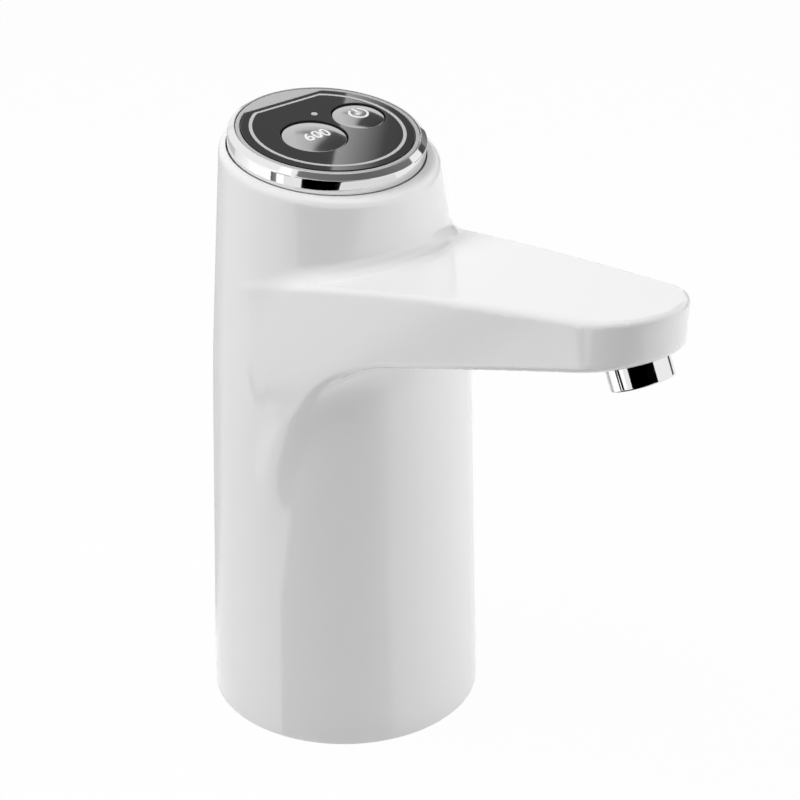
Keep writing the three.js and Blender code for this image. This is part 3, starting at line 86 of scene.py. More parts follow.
SIDE_STRIP = [
    ([(-240, -52, 1), (-298, -53, 1), (-298, 50, 1), (-240, 50, 1)], (0, 0, 0, 0)),
    ([(-334, -54, 1), (-430, -56, 1), (-430, 60, 1), (-334, 60, 1)], (0, 0, 0, 0)),
    ([(-252, 50, 1), (-298, 50, 1), (-298, 200, 1), (-252, 185, 1)], (0, 0, 0, 0)),
    ([(-298, 52, 1), (-336, 52, 1), (-336, 94, 1), (-298, 94, 1)], (0.3, 0.3, 0.1, 0.1)),
]
LIT_NOTCH = [
    ([(-298, 0, 1.5), (-334, 0, 1.5), (-292, -112, 1.5), (-252, -90, 1.5)], (0.95, 0.95, 0.95, 0.95)),
]
FRONT_CARD = [
    ([(-32, -14, 1), (-105, -5, 1), (-215, -45, 1), (-262, -99, 1)], (0, 0, 0, 0)),
    ([(-32, -14, 1), (-262, -99, 1), (-463, -236, 1), (-24, -27, 1)], (0, 0, 0, 0)),
    ([(-24, -27, 1), (-463, -236, 1), (-900, -560, 1), (-500, -900, 1)], (0, 0, 0, 0)),
    ([(-24, -27, 1), (-500, -900, 1), (-200, -1000, 1), (-14, -33, 1)], (0, 0, 0.18, 0.18)),
    ([(-14, -33, 1), (-200, -1000, 1), (-20, -1000, 1), (-8, -35, 1)], (0.18, 0.18, 0.82, 0.82)),
    ([(-8, -35, 1), (-20, -1000, 1), (450, -850, 1), (6, -35, 1)], (0.82, 0.82, 0.96, 0.96)),
]
CEILING_CARD = [
    ([(-270, -40, 700), (-340, -560, 700), (120, -640, 700), (120, -150, 700)], (0.2, 0.13, 0.13, 0.15)),
    ([(120, -150, 700), (120, -640, 700), (960, -640, 700), (960, -150, 700)], (0.15, 0.13, 0.2, 0.2)),
    ([(1450, 170, 700), (1750, 0, 700), (2900, 700, 700), (2600, 1000, 700)], (0.06, 0.06, 0.12, 0.12)),
    ([(-240, 20, 700), (-330, -60, 700), (-1900, 1200, 700), (-1500, 1700, 700)], (1.3, 1.3, 1.3, 1.3)),
]
CARDS = {
    "black_flag": BLACK_FLAG,
    "right_flag": RIGHT_FLAG,
    "lit_wall": LIT_WALL,
    "lit_floor": LIT_FLOOR,
    "side_strip": SIDE_STRIP,
    "front_card": FRONT_CARD,
    "lit_notch": LIT_NOTCH,
    "ceiling_card": CEILING_CARD,
}

# The sky card has a plane of its own. Its bands are (from, to, strips) up the plane, and its strips
# are (from, glow, to, glow) across it.
SKY_PLACE = (285.3, 279.03, 463.95)
SKY_ACROSS = (0.69297, -0.72097, 0)
SKY_UP = (-0.44073, -0.42361, 0.79143)
SKY_GLOWS = [
    (-110, 0.95, -50, 0.85),
    (-50, 0.85, -10, 0.75),
    (-10, 0.75, 35, 0.12),
    (35, 0.12, 280, 0.06),
]
SKY_GLINTS = [
    (-110, 0.8, -60, 0.38),
    (-60, 0.38, -19, 0.38),
    (-19, 3, 2, 0.4),
    (2, 0.4, 35, 0.12),
    (35, 0.12, 280, 0.06),
]
SKY_BANDS = [(-150, -72, SKY_GLOWS), (-72, -22, SKY_GLINTS), (-22, 280, SKY_GLOWS)]

# Body of the shell
BASE_RADIUS = 36
BODY_DRAFT = 1.415
LEAN_HEIGHT = 98
LEAN_ANGLE = 4.8
LEAN_SOFTNESS = 6
RIM_DROP = 5.1
RIM_ROUND = 1.7

# Arm of the shell
ARM_ROOT_Y = -5
ARM_TIP_Y = -115
ARM_ROOT_TOP = 127.8
ARM_TIP_TOP = 151.6
ARM_ARCH = 1.6
ARM_TIP_UNDERSIDE = 140.4
ARM_UNDER_SLOPE = 17.6
SCOOP_RADIUS = 49
SCOOP_FOOT_Y = -11
ARM_TIP_CENTRE_Y = -99.4
ARM_TIP_RADII = (15.3, 15.7)
ARM_ROOT_RADIUS = 33.5
ARM_WAIST = 0.4
ARM_TOP_ROUND = 1.5
ARM_BOTTOM_ROUND = 1.6
SCOOP_ROUND = 2.4

# Where the arm's hull runs inside the body it stands back from the body's skin, and below the
# scoop it sinks in further.
HIDDEN_STEP = 1.2
HIDDEN_REACH = 12
FOOT_SINK = 10
FOOT_SINK_START = 12
FOOT_SINK_REACH = 60

# Fillet between arm and body. It fades as the cosine between their slopes rises through a range.
# The range is the scoop's, and the loss is what its two ends drop by on the way up to the ledge.
LEDGE_FILLET = 4.5
SCOOP_FILLET = 6.5
LEAST_FILLET = 0.15
FILLET_DEPTH = 1.5 * WALL
FADE_RANGE = (0.8, 0.99)
FADE_LOSS = (0.5, 0.01)
SOFT_ROUND = 9

# Openings in the shell, with heights in the frames of the base, the panel and the nozzle
BELOW_BASE = ((-60, -140, -20), (60, 60, 0))
SEAT_CUT_TOP = 20
NOZZLE_CUT_FOOT = -12
CHARGE_PLACE = (0, 34, 59.1)
CHARGE_HALF_WIDTH = 4.72
CHARGE_ROUND = 1.85
CHARGE_CUT = 8

# Mesh of the shell
NET_STEP = 1.0
NET_MARGIN = 3
NEWTON_PASSES = 4
LEAST_SLOPE_SQUARED = 0.2
LONGEST_MOVE = 0.3
RELAX_PASSES = 2
STRAY_SHARE = 0.4
SLOPE_REACH = 0.02
SHADE_REACH = 0.2
CREASE_COSINE = 0.8
TINY = 1e-9

# Mesh of the turned pieces: a round takes up to a share of the walls beside it
ARC_STEPS = 5
ROUND_SHARE = 0.45
SUPPORT = 0.15
SUPPORT_SHARE = 0.49
ON_AXIS = 1e-6
WELD = 0.001

# Control panel, a frame whose Z is the panel's normal. Drops and feet go down from the lens's face.
PANEL_CENTRE = (0, 4.81, 158.3)
PANEL_TILT = 6.8
TRIM_RADIUS = 25.05
TRIM_DEPTH = 9
TRIM_BORE = 23.3
TRIM_BORE_ROUND = 0.1
TRIM_SKIRT = 1.15
TRIM_SHOULDER_DROP = 1.25
TRIM_SHOULDER_ROUND = 0.35
TRIM_CREST_RADIUS = 23.55
TRIM_CREST_DROP = 0.02
TRIM_CREST_ROUND = 0.2
TRIM_LIP = 1.5
TRIM_LIP_FOOT = 4.6
BEZEL_RADIUS = 23.1
BEZEL_DROP = 0.15
BEZEL_THICKNESS = 2.85
BEZEL_BEVEL = 0.1
LENS_RADIUS = 21.78
LENS_CHORD = 18.05
LENS_THICKNESS = 1.2
LENS_BEVEL = 0.14
LENS_BED = 0.1
LINE_INSET = 2.05
LINE_CHORD_INSET = 1.35
LINE_WIDTH = 0.85
LINE_CHORD_WIDTH = 0.68
PRINT_BASE = 0.001
PRINT_RISE = 0.05

# Buttons and status light, each with its x, y and radius on the panel
DOSE = (-5.1, -1, 8.2)
POWER = (11.4, 1.95, 6.7)
LIGHT = (2.5, 8.6, 0.85)
BUTTON_CROWN = 0.75
BUTTON_CROWN_POWER = 2.4
BUTTON_CROWN_STEPS = 16
BUTTON_EDGE_DROP = 0.35
BUTTON_EDGE_ROUND = 0.3
BUTTON_FLANGE = 0.7
BUTTON_FLANGE_DROP = 3.3
BUTTON_SKIRT = 4.1
BUTTON_POST_RADIUS = 1.6
BUTTON_POST_FOOT = 4.5
LIGHT_GAP = 0.08
LIGHT_DROP = 0.04
LIGHT_ROUND = 0.08
LIGHT_COLLAR_RADIUS = 1.8
LIGHT_COLLAR_TOP = 3.3
LIGHT_COLLAR_FOOT = 4.1
LIGHT_FOOT = 7.6

# Digits and icon on the buttons
DIGITS = "600"
DIGIT_HEIGHT = 5
DIGIT_DROP = 1.1
DIGIT_BOLDNESS = 0.06
ICON_RADIUS = 2.35
ICON_STROKE = 0.62
ICON_GAP = 32
ICON_STEM_START = 0.15
ICON_STEM_STEPS = 10
ICON_SINK = 0.02

# Nozzle, a frame whose Z runs up into the arm
NOZZLE_PLACE = (0, -107.9, 131.6)
NOZZLE_TILT = 25.9
NOZZLE_RADIUS = 7.65
NOZZLE_WALL = 0.9
NOZZLE_SEAT = 9.9
NOZZLE_FLANGE_RADIUS = 8.8
NOZZLE_FLANGE = 0.8
NOZZLE_BORE_ROUND = 0.4
NOZZLE_EDGE_ROUND = 0.45


def smooth_max(a, b, radius):
    """The larger of two fields, with a round where they meet."""
    a, b = a + radius, b + radius
    outside = np.hypot(np.maximum(a, 0), np.maximum(b, 0))
    return outside + np.minimum(np.maximum(a, b), 0) - radius


def tan(angle):
    return math.tan(math.radians(angle))


def tilted(place, tilt):
    return Matrix.Translation(place) @ Matrix.Rotation(math.radians(tilt), 4, "X")


PANEL = tilted(PANEL_CENTRE, PANEL_TILT)
NOZZLE = tilted(NOZZLE_PLACE, -NOZZLE_TILT)


# The shell as a field of distances from its skin, negative inside the plastic

def body_back(z):
    """How far the body's middle leans back at a height."""
    rise = z - LEAN_HEIGHT
    return 0.5 * (rise + np.hypot(rise, LEAN_SOFTNESS)) * tan(LEAN_ANGLE)


def body_radius(z):
    return BASE_RADIUS - z * tan(BODY_DRAFT) - body_back(z)


def body_field(points):
    x, y, z = points.T
    wall = np.hypot(x, y - body_back(z)) - body_radius(z)
    normal = np.array(PANEL.to_3x3().col[2])
    rim = (points - np.array(PANEL_CENTRE)) @ normal + RIM_DROP
    return smooth_max(wall, rim, RIM_ROUND)


def arm_top(y):
    share = (ARM_ROOT_Y - y) / (ARM_ROOT_Y - ARM_TIP_Y)
    return ARM_ROOT_TOP + (ARM_TIP_TOP - ARM_ROOT_TOP) * share + 4 * ARM_ARCH * share * (1 - share)


# Middle of the arc in the arm's underside
SCOOP_Y = SCOOP_FOOT_Y - SCOOP_RADIUS
SCOOP_Z = (ARM_TIP_UNDERSIDE - (SCOOP_Y - ARM_TIP_Y) * tan(ARM_UNDER_SLOPE)
           - SCOOP_RADIUS / math.cos(math.radians(ARM_UNDER_SLOPE)))


def arm_under(y):
    line = ARM_TIP_UNDERSIDE - (y - ARM_TIP_Y) * tan(ARM_UNDER_SLOPE)
    turn = SCOOP_Y + SCOOP_RADIUS * math.sin(math.radians(ARM_UNDER_SLOPE))
    arc = SCOOP_Z + np.sqrt(np.maximum(SCOOP_RADIUS ** 2 - (y - SCOOP_Y) ** 2, 0))
    return np.where(y < turn, line, arc)


def scoop_field(y, z):
    """How far a point lies below the underside: a straight line that runs into an arc."""
    slope = math.radians(ARM_UNDER_SLOPE)
    along = (y - SCOOP_Y) * math.cos(slope) - (z - SCOOP_Z) * math.sin(slope)
    across = (y - SCOOP_Y) * math.sin(slope) + (z - SCOOP_Z) * math.cos(slope)
    above = np.where(along < 0, across, np.hypot(along, across))
    return SCOOP_RADIUS - np.where(z < SCOOP_Z, y - SCOOP_Y, above)


def outline_field(x, y, z, share):
    """Distance in plan from the hull of the body's circle at that height and the tip's circle."""
    root_y = body_back(z)
    root_radius = np.minimum(body_radius(z), ARM_ROOT_RADIUS)
    tip_radius = ARM_TIP_RADII[0] + (ARM_TIP_RADII[1] - ARM_TIP_RADII[0]) * share
    span = root_y - ARM_TIP_CENTRE_Y
    lean = (root_radius - tip_radius) / span
    upright = np.sqrt(1 - lean * lean)
    x, y = np.abs(x), root_y - y
    beside = x * -lean + y * upright
    along = np.clip(beside / (span * upright), 0, 1)
    side = x * upright + y * lean - root_radius + 4 * ARM_WAIST * along * (1 - along)
    root = np.hypot(x, y) - root_radius
    tip = np.hypot(x, y - span) - tip_radius
    root = root + HIDDEN_STEP * eased(-beside, 0, HIDDEN_REACH)
    outline = np.where(beside < 0, root, np.where(beside > span * upright, tip, side))
    return outline + FOOT_SINK * eased(SCOOP_Z + FOOT_SINK_START - z, 0, FOOT_SINK_REACH)


def eased(value, low, high):
    """A smooth rise from 0 at low to 1 at high."""
    share = np.clip((value - low) / (high - low), 0, 1)
    return share * share * (3 - 2 * share)


def arm_field(points, least_round=0):
    x, y, z = points.T
    low, high = arm_under(y), arm_top(y)
    share = np.clip((z - low) / np.maximum(high - low, 1), 0, 1)
    side = outline_field(x, y, z, share)
    rise = (ARM_TIP_TOP - ARM_ROOT_TOP) / (ARM_ROOT_Y - ARM_TIP_Y)
    top = (z - high) / math.hypot(1, rise)
    low_round = ARM_BOTTOM_ROUND + (SCOOP_ROUND - ARM_BOTTOM_ROUND) * eased(y, SCOOP_Y, SCOOP_FOOT_Y)
    body = smooth_max(side, top, max(ARM_TOP_ROUND, least_round))
    return smooth_max(body, scoop_field(y, z), np.maximum(low_round, least_round))


def soft_arm_field(points):
    return arm_field(points, SOFT_ROUND)


def slope_of(field, points, reach=SLOPE_REACH):
    steps = np.eye(3) * reach
    slopes = [(field(points + step) - field(points - step)) / (2 * reach) for step in steps]
    return np.stack(slopes, axis=1)


def unit(vectors):
    return vectors / np.maximum(np.linalg.norm(vectors, axis=1, keepdims=True), TINY)


def outer_field(points, body, arm):
    """Body and arm, with a fillet that fades out where their skins run alongside each other."""
    field = np.minimum(body, arm)
    near = (np.maximum(body, arm) < max(LEDGE_FILLET, SCOOP_FILLET)) & (field > -FILLET_DEPTH)
    if near.any():
        a, b, spot = body[near], arm[near], points[near]
        facing = (unit(slope_of(body_field, spot)) * unit(slope_of(soft_arm_field, spot))).sum(axis=1)
        middle = (arm_under(spot[:, 1]) + arm_top(spot[:, 1])) / 2
        above = eased(spot[:, 2] - middle, -SOFT_ROUND, SOFT_ROUND)
        full = SCOOP_FILLET + (LEDGE_FILLET - SCOOP_FILLET) * above
        fade = eased(facing, FADE_RANGE[0] - FADE_LOSS[0] * above, FADE_RANGE[1] - FADE_LOSS[1] * above)
        radius = full + (LEAST_FILLET - full) * fade
        hollow = np.hypot(np.maximum(radius - a, 0), np.maximum(radius - b, 0))
        field[near] = np.maximum(radius, np.minimum(a, b)) - hollow
    return field


def shell_field(points):
    """The wall between the skin and the hollow, whose own corners have no fillet."""
    body, arm = body_field(points), arm_field(points)
    return np.maximum(outer_field(points, body, arm), -(np.minimum(body, arm) + WALL))


def net_of(field, low, high, step):
    """The corners and the quads of a surface net over a field's zero level."""
    counts = [int(math.ceil((b - a) / step)) + 1 for a, b in zip(low, high)]
    grid = np.stack(np.meshgrid(*[np.arange(n) for n in counts], indexing="ij"), axis=-1)
    values = np.concatenate([field(layer.reshape(-1, 3) * step + low) for layer in grid]).reshape(counts)
    inside = values < 0
    shift = [np.s_[:-1], np.s_[1:]]
    full = sum(inside[a, b, c].astype(int) for a in shift for b in shift for c in shift)

    # Each cell that the skin runs through has one point, the mean of where the skin crosses its
    # edges, and each crossed edge has one quad over the four cells round it.
    cells = np.argwhere((full > 0) & (full < 8))
    number = np.full(full.shape, -1)
    number[tuple(cells.T)] = np.arange(len(cells))
    total, hits = np.zeros((len(cells), 3)), np.zeros(len(cells))
    quads = []
    for axis in range(3):
        one, left, right = np.roll(np.eye(3, dtype=int), -axis, axis=0)
        for offset in (0 * one, left, right, left + right):
            start = cells + offset
            a, b = values[tuple(start.T)], values[tuple((start + one).T)]
            crossed = (a < 0) != (b < 0)
            share = np.where(crossed, a / np.where(crossed, a - b, 1), 0)
            total += (start + share[:, None] * one) * crossed[:, None]
            hits += crossed
        ends = [np.s_[:], np.s_[:], np.s_[:]]
        ends[axis] = np.s_[:-1]
        first = inside[tuple(ends)]
        ends[axis] = np.s_[1:]
        edges = np.argwhere(first != inside[tuple(ends)])
        edges = edges[(edges[:, (axis + 1) % 3] > 0) & (edges[:, (axis + 2) % 3] > 0)]
        ring = [number[tuple((edges - back).T)] for back in (0 * one, left, left + right, right)]
        outward = inside[tuple(edges.T)]
        quads.append(np.where(outward[:, None], np.stack(ring, axis=1), np.stack(ring[::-1], axis=1)))
    points = total / hits[:, None] * step + low
    quads = np.concatenate(quads)

    # The points are drawn onto the skin, and those that stray from their neighbours are set back.
    drawn(field, points, step)
    for _ in range(RELAX_PASSES):
        middles = neighbour_middles(points, quads)
        stray = np.linalg.norm(middles - points, axis=1) > STRAY_SHARE * step
        points[stray] = middles[stray]
        drawn(field, points, step)
    return points, quads


def drawn(field, points, step):
    """Draws the points onto the field's zero level by Newton's method."""
    for _ in range(NEWTON_PASSES):
        slopes = slope_of(field, points)
        steepness = np.maximum((slopes ** 2).sum(axis=1), LEAST_SLOPE_SQUARED)
        moves = slopes * (field(points) / steepness)[:, None]
        length = np.linalg.norm(moves, axis=1, keepdims=True)
        points -= moves * np.minimum(1, LONGEST_MOVE * step / np.maximum(length, TINY))


def neighbour_middles(points, quads):
    """The middle of each point's neighbours along the edges of the quads."""
    total, count = np.zeros_like(points), np.zeros(len(points))
    for here in range(4):
        for there in ((here + 1) % 4, (here + 3) % 4):
            np.add.at(total, quads[:, here], points[quads[:, there]])
            np.add.at(count, quads[:, here], 1)
    return total / np.maximum(count, 1)[:, None]


# Making meshes

UNMOVED = Matrix.Identity(4)


def added(name, data):
    """A new object in the scene."""
    obj = bpy.data.objects.new(name, data)
    bpy.context.collection.objects.link(obj)
    return obj


def new_mesh(name, points, faces, place=UNMOVED):
    mesh = bpy.data.meshes.new(name)
    mesh.from_pydata([place @ Vector(p) * MM for p in points], [], [list(face) for face in faces])
    mesh.validate()
    mesh.update()
    return mesh


def piece(name, mesh, body, material, replaces=(), sharp=40):
    """A finished piece: its mesh, its material, the body that it rides on and what it stands for."""
    obj = added(name, mesh)
    mesh.shade_smooth()
    if sharp:
        mesh.set_sharp_from_angle(angle=math.radians(sharp))
    mesh.materials.clear()
    mesh.materials.append(material)
    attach(obj, body)
    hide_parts(*replaces)


def evaluated(obj):
    """A new mesh from the object as its curve or its modifiers make it."""
    bpy.context.view_layer.update()
    return bpy.data.meshes.new_from_object(obj.evaluated_get(bpy.context.evaluated_depsgraph_get()))


def rounded(corners):
    """An outline from corners (x, y) or (x, y, round). A round is an arc between two support points,
    which keep the walls beside it shaded flat."""
    outline = []
    for i, corner in enumerate(corners):
        here = Vector(corner[:2])
        if len(corner) < 3:
            outline.append(tuple(here))
            continue
        before = Vector(corners[i - 1][:2]) - here
        after = Vector(corners[(i + 1) % len(corners)][:2]) - here
        half = before.angle(after) / 2
        reach = min(corner[2] / math.tan(half), before.length * ROUND_SHARE, after.length * ROUND_SHARE)
        radius = reach * math.tan(half)
        bisector = (before.normalized() + after.normalized()).normalized()
        middle = here + bisector * (radius / math.sin(half))
        start = here + before.normalized() * reach - middle
        end = here + after.normalized() * reach - middle
        supports = [
            here + side.normalized() * min(reach + SUPPORT, side.length * SUPPORT_SHARE)
            for side in (before, after)
        ]
        outline.append(tuple(supports[0]))
        for k in range(ARC_STEPS + 1):
            arm = start.slerp(end, k / ARC_STEPS)
            outline.append(tuple(middle + arm.normalized() * radius))
        outline.append(tuple(supports[1]))
    return outline


def turned(name, section, place=UNMOVED, facets=96):
    """A mesh turned about Z from a closed section of (radius, height) or (radius, height, round)."""
    outline = rounded(section)
    points, faces = [], []
    count = len(outline)
    for i in range(facets):
        angle = 2 * math.pi * i / facets
        points += [(r * math.cos(angle), r * math.sin(angle), h) for r, h in outline]
    for i in range(facets):
        j = (i + 1) % facets
        for k in range(count):
            m = (k + 1) % count
            if outline[k][0] > ON_AXIS or outline[m][0] > ON_AXIS:
                faces.append((i * count + k, j * count + k, j * count + m, i * count + m))
    mesh = new_mesh(name, points, faces, place)
    tidy = bmesh.new()
    tidy.from_mesh(mesh)
    bmesh.ops.remove_doubles(tidy, verts=tidy.verts, dist=MM * WELD)
    bmesh.ops.recalc_face_normals(tidy, faces=tidy.faces)
    tidy.to_mesh(mesh)
    tidy.free()
    return mesh


def arc(x, y, radius, start=0, end=360, facets=96):
    """Points along an arc; a whole circle has its start only once."""
    count = facets + (end - start < 360)
    turns = [math.radians(start + (end - start) * i / facets) for i in range(count)]
    return [(x + radius * math.cos(t), y + radius * math.sin(t)) for t in turns]


def plate(name, outlines, low, high, place=UNMOVED, bevel=0.0):
    """A flat plate between two heights, from an outline and its holes, with a small bevel."""
    curve = bpy.data.curves.new(name, "CURVE")
    curve.dimensions = "2D"
    curve.fill_mode = "BOTH"
    for outline in outlines:
        spline = curve.splines.new("POLY")
        spline.points.add(len(outline) - 1)
        for point, (x, y) in zip(spline.points, outline):
            point.co = (x * MM, y * MM, 0, 1)
        spline.use_cyclic_u = True
    curve.extrude = ((high - low) / 2 - bevel) * MM
    curve.bevel_depth = bevel * MM
    curve.bevel_resolution = 2
    curve.offset = -bevel * MM
    obj = added(name, curve)
    mesh = evaluated(obj)
    bpy.data.objects.remove(obj)
    move = place.copy()
    move.translation = (place @ Vector((0, 0, (low + high) / 2))) * MM
    mesh.transform(move)
    return mesh


def cut(obj, *cutters):
    """Cuts meshes out of the object, one after another."""
    for cutter in cutters:
        tool = added("cutter", cutter)
        boolean = obj.modifiers.new("cut", "BOOLEAN")
        boolean.operation = "DIFFERENCE"
        boolean.solver = "EXACT"
        boolean.object = tool
        made = evaluated(obj)
        obj.modifiers.clear()
        obj.data = made
        bpy.data.objects.remove(tool)


def block(name, low, high):
    points = [(x, y, z) for x in (low[0], high[0]) for y in (low[1], high[1]) for z in (low[2], high[2])]
    faces = [(0, 1, 3, 2), (4, 6, 7, 5), (0, 4, 5, 1), (2, 3, 7, 6), (0, 2, 6, 4), (1, 5, 7, 3)]
    return new_mesh(name, points, faces)


# Material makers

def new_group(name, inputs, outputs):
    group = bpy.data.node_groups.new(name, "ShaderNodeTree")
    for title, value in inputs.items():
        socket = group.interface.new_socket(title, in_out="INPUT", socket_type="NodeSocketFloat")
        socket.default_value = value
    for title, kind in outputs.items():
        group.interface.new_socket(title, in_out="OUTPUT", socket_type=kind)
    return group, group.nodes.new("NodeGroupInput"), group.nodes.new("NodeGroupOutput")


def node(tree, kind, inputs=None, **settings):
    """A node with its settings and its inputs; an input is a value or a socket to link."""
    made = tree.nodes.new(kind)
    for key, value in settings.items():
        setattr(made, key, value)
    for key, value in (inputs or {}).items():
        if isinstance(value, bpy.types.NodeSocket):
            tree.links.new(value, made.inputs[key])
        else:
            made.inputs[key].default_value = value
    return made


def object_place(tree):
    return node(tree, "ShaderNodeTexCoord").outputs["Object"]


def grain_group():
    """Fine moulded grain: a height for Bump, and a roughness that drifts a little."""
    group, given, out = new_group(
        "moulded_grain",
        {"Grain Scale": 900, "Roughness": 0.3, "Drift": 0.04, "Tone Drift": 0.02},
        {"Height": "NodeSocketFloat", "Roughness": "NodeSocketFloat", "Tone": "NodeSocketFloat"})
    place = object_place(group)
    fine = node(group, "ShaderNodeTexNoise",
                {"Vector": place, "Scale": given.outputs["Grain Scale"], "Detail": 3.0})
    broad = node(group, "ShaderNodeTexNoise", {"Vector": place, "Scale": 38.0, "Detail": 2.0})
    lean = node(group, "ShaderNodeMath", {0: broad.outputs["Fac"], 1: 0.5}, operation="SUBTRACT")
    rough = node(group, "ShaderNodeMath",
                 {0: lean.outputs[0], 1: given.outputs["Drift"], 2: given.outputs["Roughness"]},
                 operation="MULTIPLY_ADD")
    tone = node(group, "ShaderNodeMath",
                {0: lean.outputs[0], 1: given.outputs["Tone Drift"], 2: 1.0}, operation="MULTIPLY_ADD")
    group.links.new(fine.outputs["Fac"], out.inputs["Height"])
    group.links.new(rough.outputs[0], out.inputs["Roughness"])
    group.links.new(tone.outputs[0], out.inputs["Tone"])
    return group


def brushed_group():
    """Fine straight brushing along X: a height and a roughness."""
    group, given, out = new_group(
        "brushed_lines", {"Line Scale": 300, "Roughness": 0.3, "Depth": 0.1},
        {"Height": "NodeSocketFloat", "Roughness": "NodeSocketFloat"})
    stretch = node(group, "ShaderNodeMapping",
                   {"Vector": object_place(group), "Scale": (0.04, 1.0, 1.0)})
    lines = node(group, "ShaderNodeTexNoise",
                 {"Vector": stretch.outputs[0], "Scale": given.outputs["Line Scale"], "Detail": 4.0})
    rough = node(group, "ShaderNodeMath",
                 {0: lines.outputs["Fac"], 1: given.outputs["Depth"], 2: given.outputs["Roughness"]},
                 operation="MULTIPLY_ADD")
    group.links.new(lines.outputs["Fac"], out.inputs["Height"])
    group.links.new(rough.outputs[0], out.inputs["Roughness"])
    return group


GRAIN = grain_group()
BRUSHED = brushed_group()


def material(name, colour, roughness, metallic=0.0, grain=900, depth=0.02, drift=0.04, tone=0.03,
             lines=None, **shader):
    """A Principled material on one of the two surface groups. Shader settings are its own sockets."""
    made = bpy.data.materials.new(name)
    made.use_nodes = True
    tree = made.node_tree
    bsdf = tree.nodes["Principled BSDF"]
    surface = tree.nodes.new("ShaderNodeGroup")
    surface.node_tree = BRUSHED if lines else GRAIN
    surface.inputs["Roughness"].default_value = roughness
    bsdf.inputs["Metallic"].default_value = metallic
    if lines:
        surface.inputs["Line Scale"].default_value = lines
        surface.inputs["Depth"].default_value = drift
        bsdf.inputs["Base Color"].default_value = (*colour, 1)
    else:
        surface.inputs["Grain Scale"].default_value = grain
        surface.inputs["Drift"].default_value = drift
        surface.inputs["Tone Drift"].default_value = tone
        toned = node(tree, "ShaderNodeMix", {"Factor": 1.0, "A": (*colour, 1)},
                     data_type="RGBA", blend_type="MULTIPLY")
        tree.links.new(surface.outputs["Tone"], toned.inputs["B"])
        tree.links.new(toned.outputs["Result"], bsdf.inputs["Base Color"])
    bump = node(tree, "ShaderNodeBump", {
        "Height": surface.outputs["Height"], "Strength": depth, "Distance": 0.0002})
    tree.links.new(surface.outputs["Roughness"], bsdf.inputs["Roughness"])
    tree.links.new(bump.outputs["Normal"], bsdf.inputs["Normal"])
    for title, value in shader.items():
        bsdf.inputs[title.replace("_", " ")].default_value = value
    return made


FINISHES = {
    "shell": material("white_plastic", (0.83, 0.83, 0.828), 0.11, depth=0.012, drift=0.03,
                      tone=0.012, IOR=1.58),
    "chrome": material("chrome_plate", (0.82, 0.82, 0.825), 0.045, metallic=1, depth=0.004, tone=0.01),
    "silver": material("brushed_silver", (0.5, 0.5, 0.505), 0.4, metallic=0.3, lines=900, depth=0.03,
                       drift=0.12),
    "lens": material("black_lens", (0.018, 0.018, 0.018), 0.035, depth=0.002, drift=0.01, tone=0.1,
                     IOR=1.45),
    "button": material("dark_button", (0.5, 0.5, 0.505), 0.13, metallic=1, depth=0.01, drift=0.05),
    "clear": material("light_pipe", (0.5, 0.51, 0.5), 0.2, depth=0.004),
    "print": material("white_print", (0.85, 0.85, 0.85), 0.35, grain=2500, depth=0.01),
    "grey_print": material("grey_print", (0.5, 0.5, 0.5), 0.35, grain=2500, depth=0.01),
    "silicone": material("milky_silicone", (0.7, 0.72, 0.72), 0.5, grain=1500, depth=0.05, tone=0.05),
    "rubber": material("black_rubber", (0.02, 0.02, 0.021), 0.75, grain=2200, depth=0.15),
    "inner": material("inner_plastic", (0.68, 0.69, 0.68), 0.42, grain=1300, depth=0.08),
    "steel": material("plated_steel", (0.6, 0.61, 0.62), 0.28, metallic=1, grain=1800, drift=0.15,
                      tone=0.12),
    "magnet": material("ferrite", (0.045, 0.045, 0.048), 0.6, grain=2600, depth=0.2, tone=0.3),
    "brass": material("brass", (0.72, 0.52, 0.22), 0.3, metallic=1, drift=0.15, tone=0.15),
    "gear": material("acetal", (0.76, 0.73, 0.64), 0.38, grain=1500, depth=0.05),
    "board": material("solder_mask", (0.02, 0.14, 0.06), 0.35, grain=700, depth=0.1, tone=0.5),
    "switch": material("switch_plastic", (0.03, 0.03, 0.032), 0.45, grain=1500, depth=0.08),
    "cell": material("cell_sleeve", (0.03, 0.14, 0.4), 0.25, grain=260, depth=0.1, tone=0.1),
    "red_wire": material("red_insulation", (0.52, 0.03, 0.02), 0.4, grain=1400, depth=0.05),
    "black_wire": material("black_insulation", (0.02, 0.02, 0.021), 0.4, grain=1400, depth=0.05),
}


# Studio: camera, lamps, floor and the white room round it

def aimed(obj, place, target):
    obj.location = Vector(place) * MM
    obj.rotation_mode = "QUATERNION"
    obj.rotation_quaternion = (Vector(target) - Vector(place)).to_track_quat("-Z", "Y")


def lamp(name, place, size, radiance):
    """A square softbox whose brightness, seen straight on, is radiance."""
    light = bpy.data.lights.new(name, "AREA")
    light.size = size * MM
    light.energy = radiance * math.pi * light.size ** 2
    obj = added(name, light)
    obj.visible_glossy = False
    aimed(obj, place, LAMP_TARGET)


def emptied(owner):
    """The node tree of a new material or world, with no nodes in it."""
    owner.use_nodes = True
    owner.node_tree.nodes.clear()
    return owner.node_tree


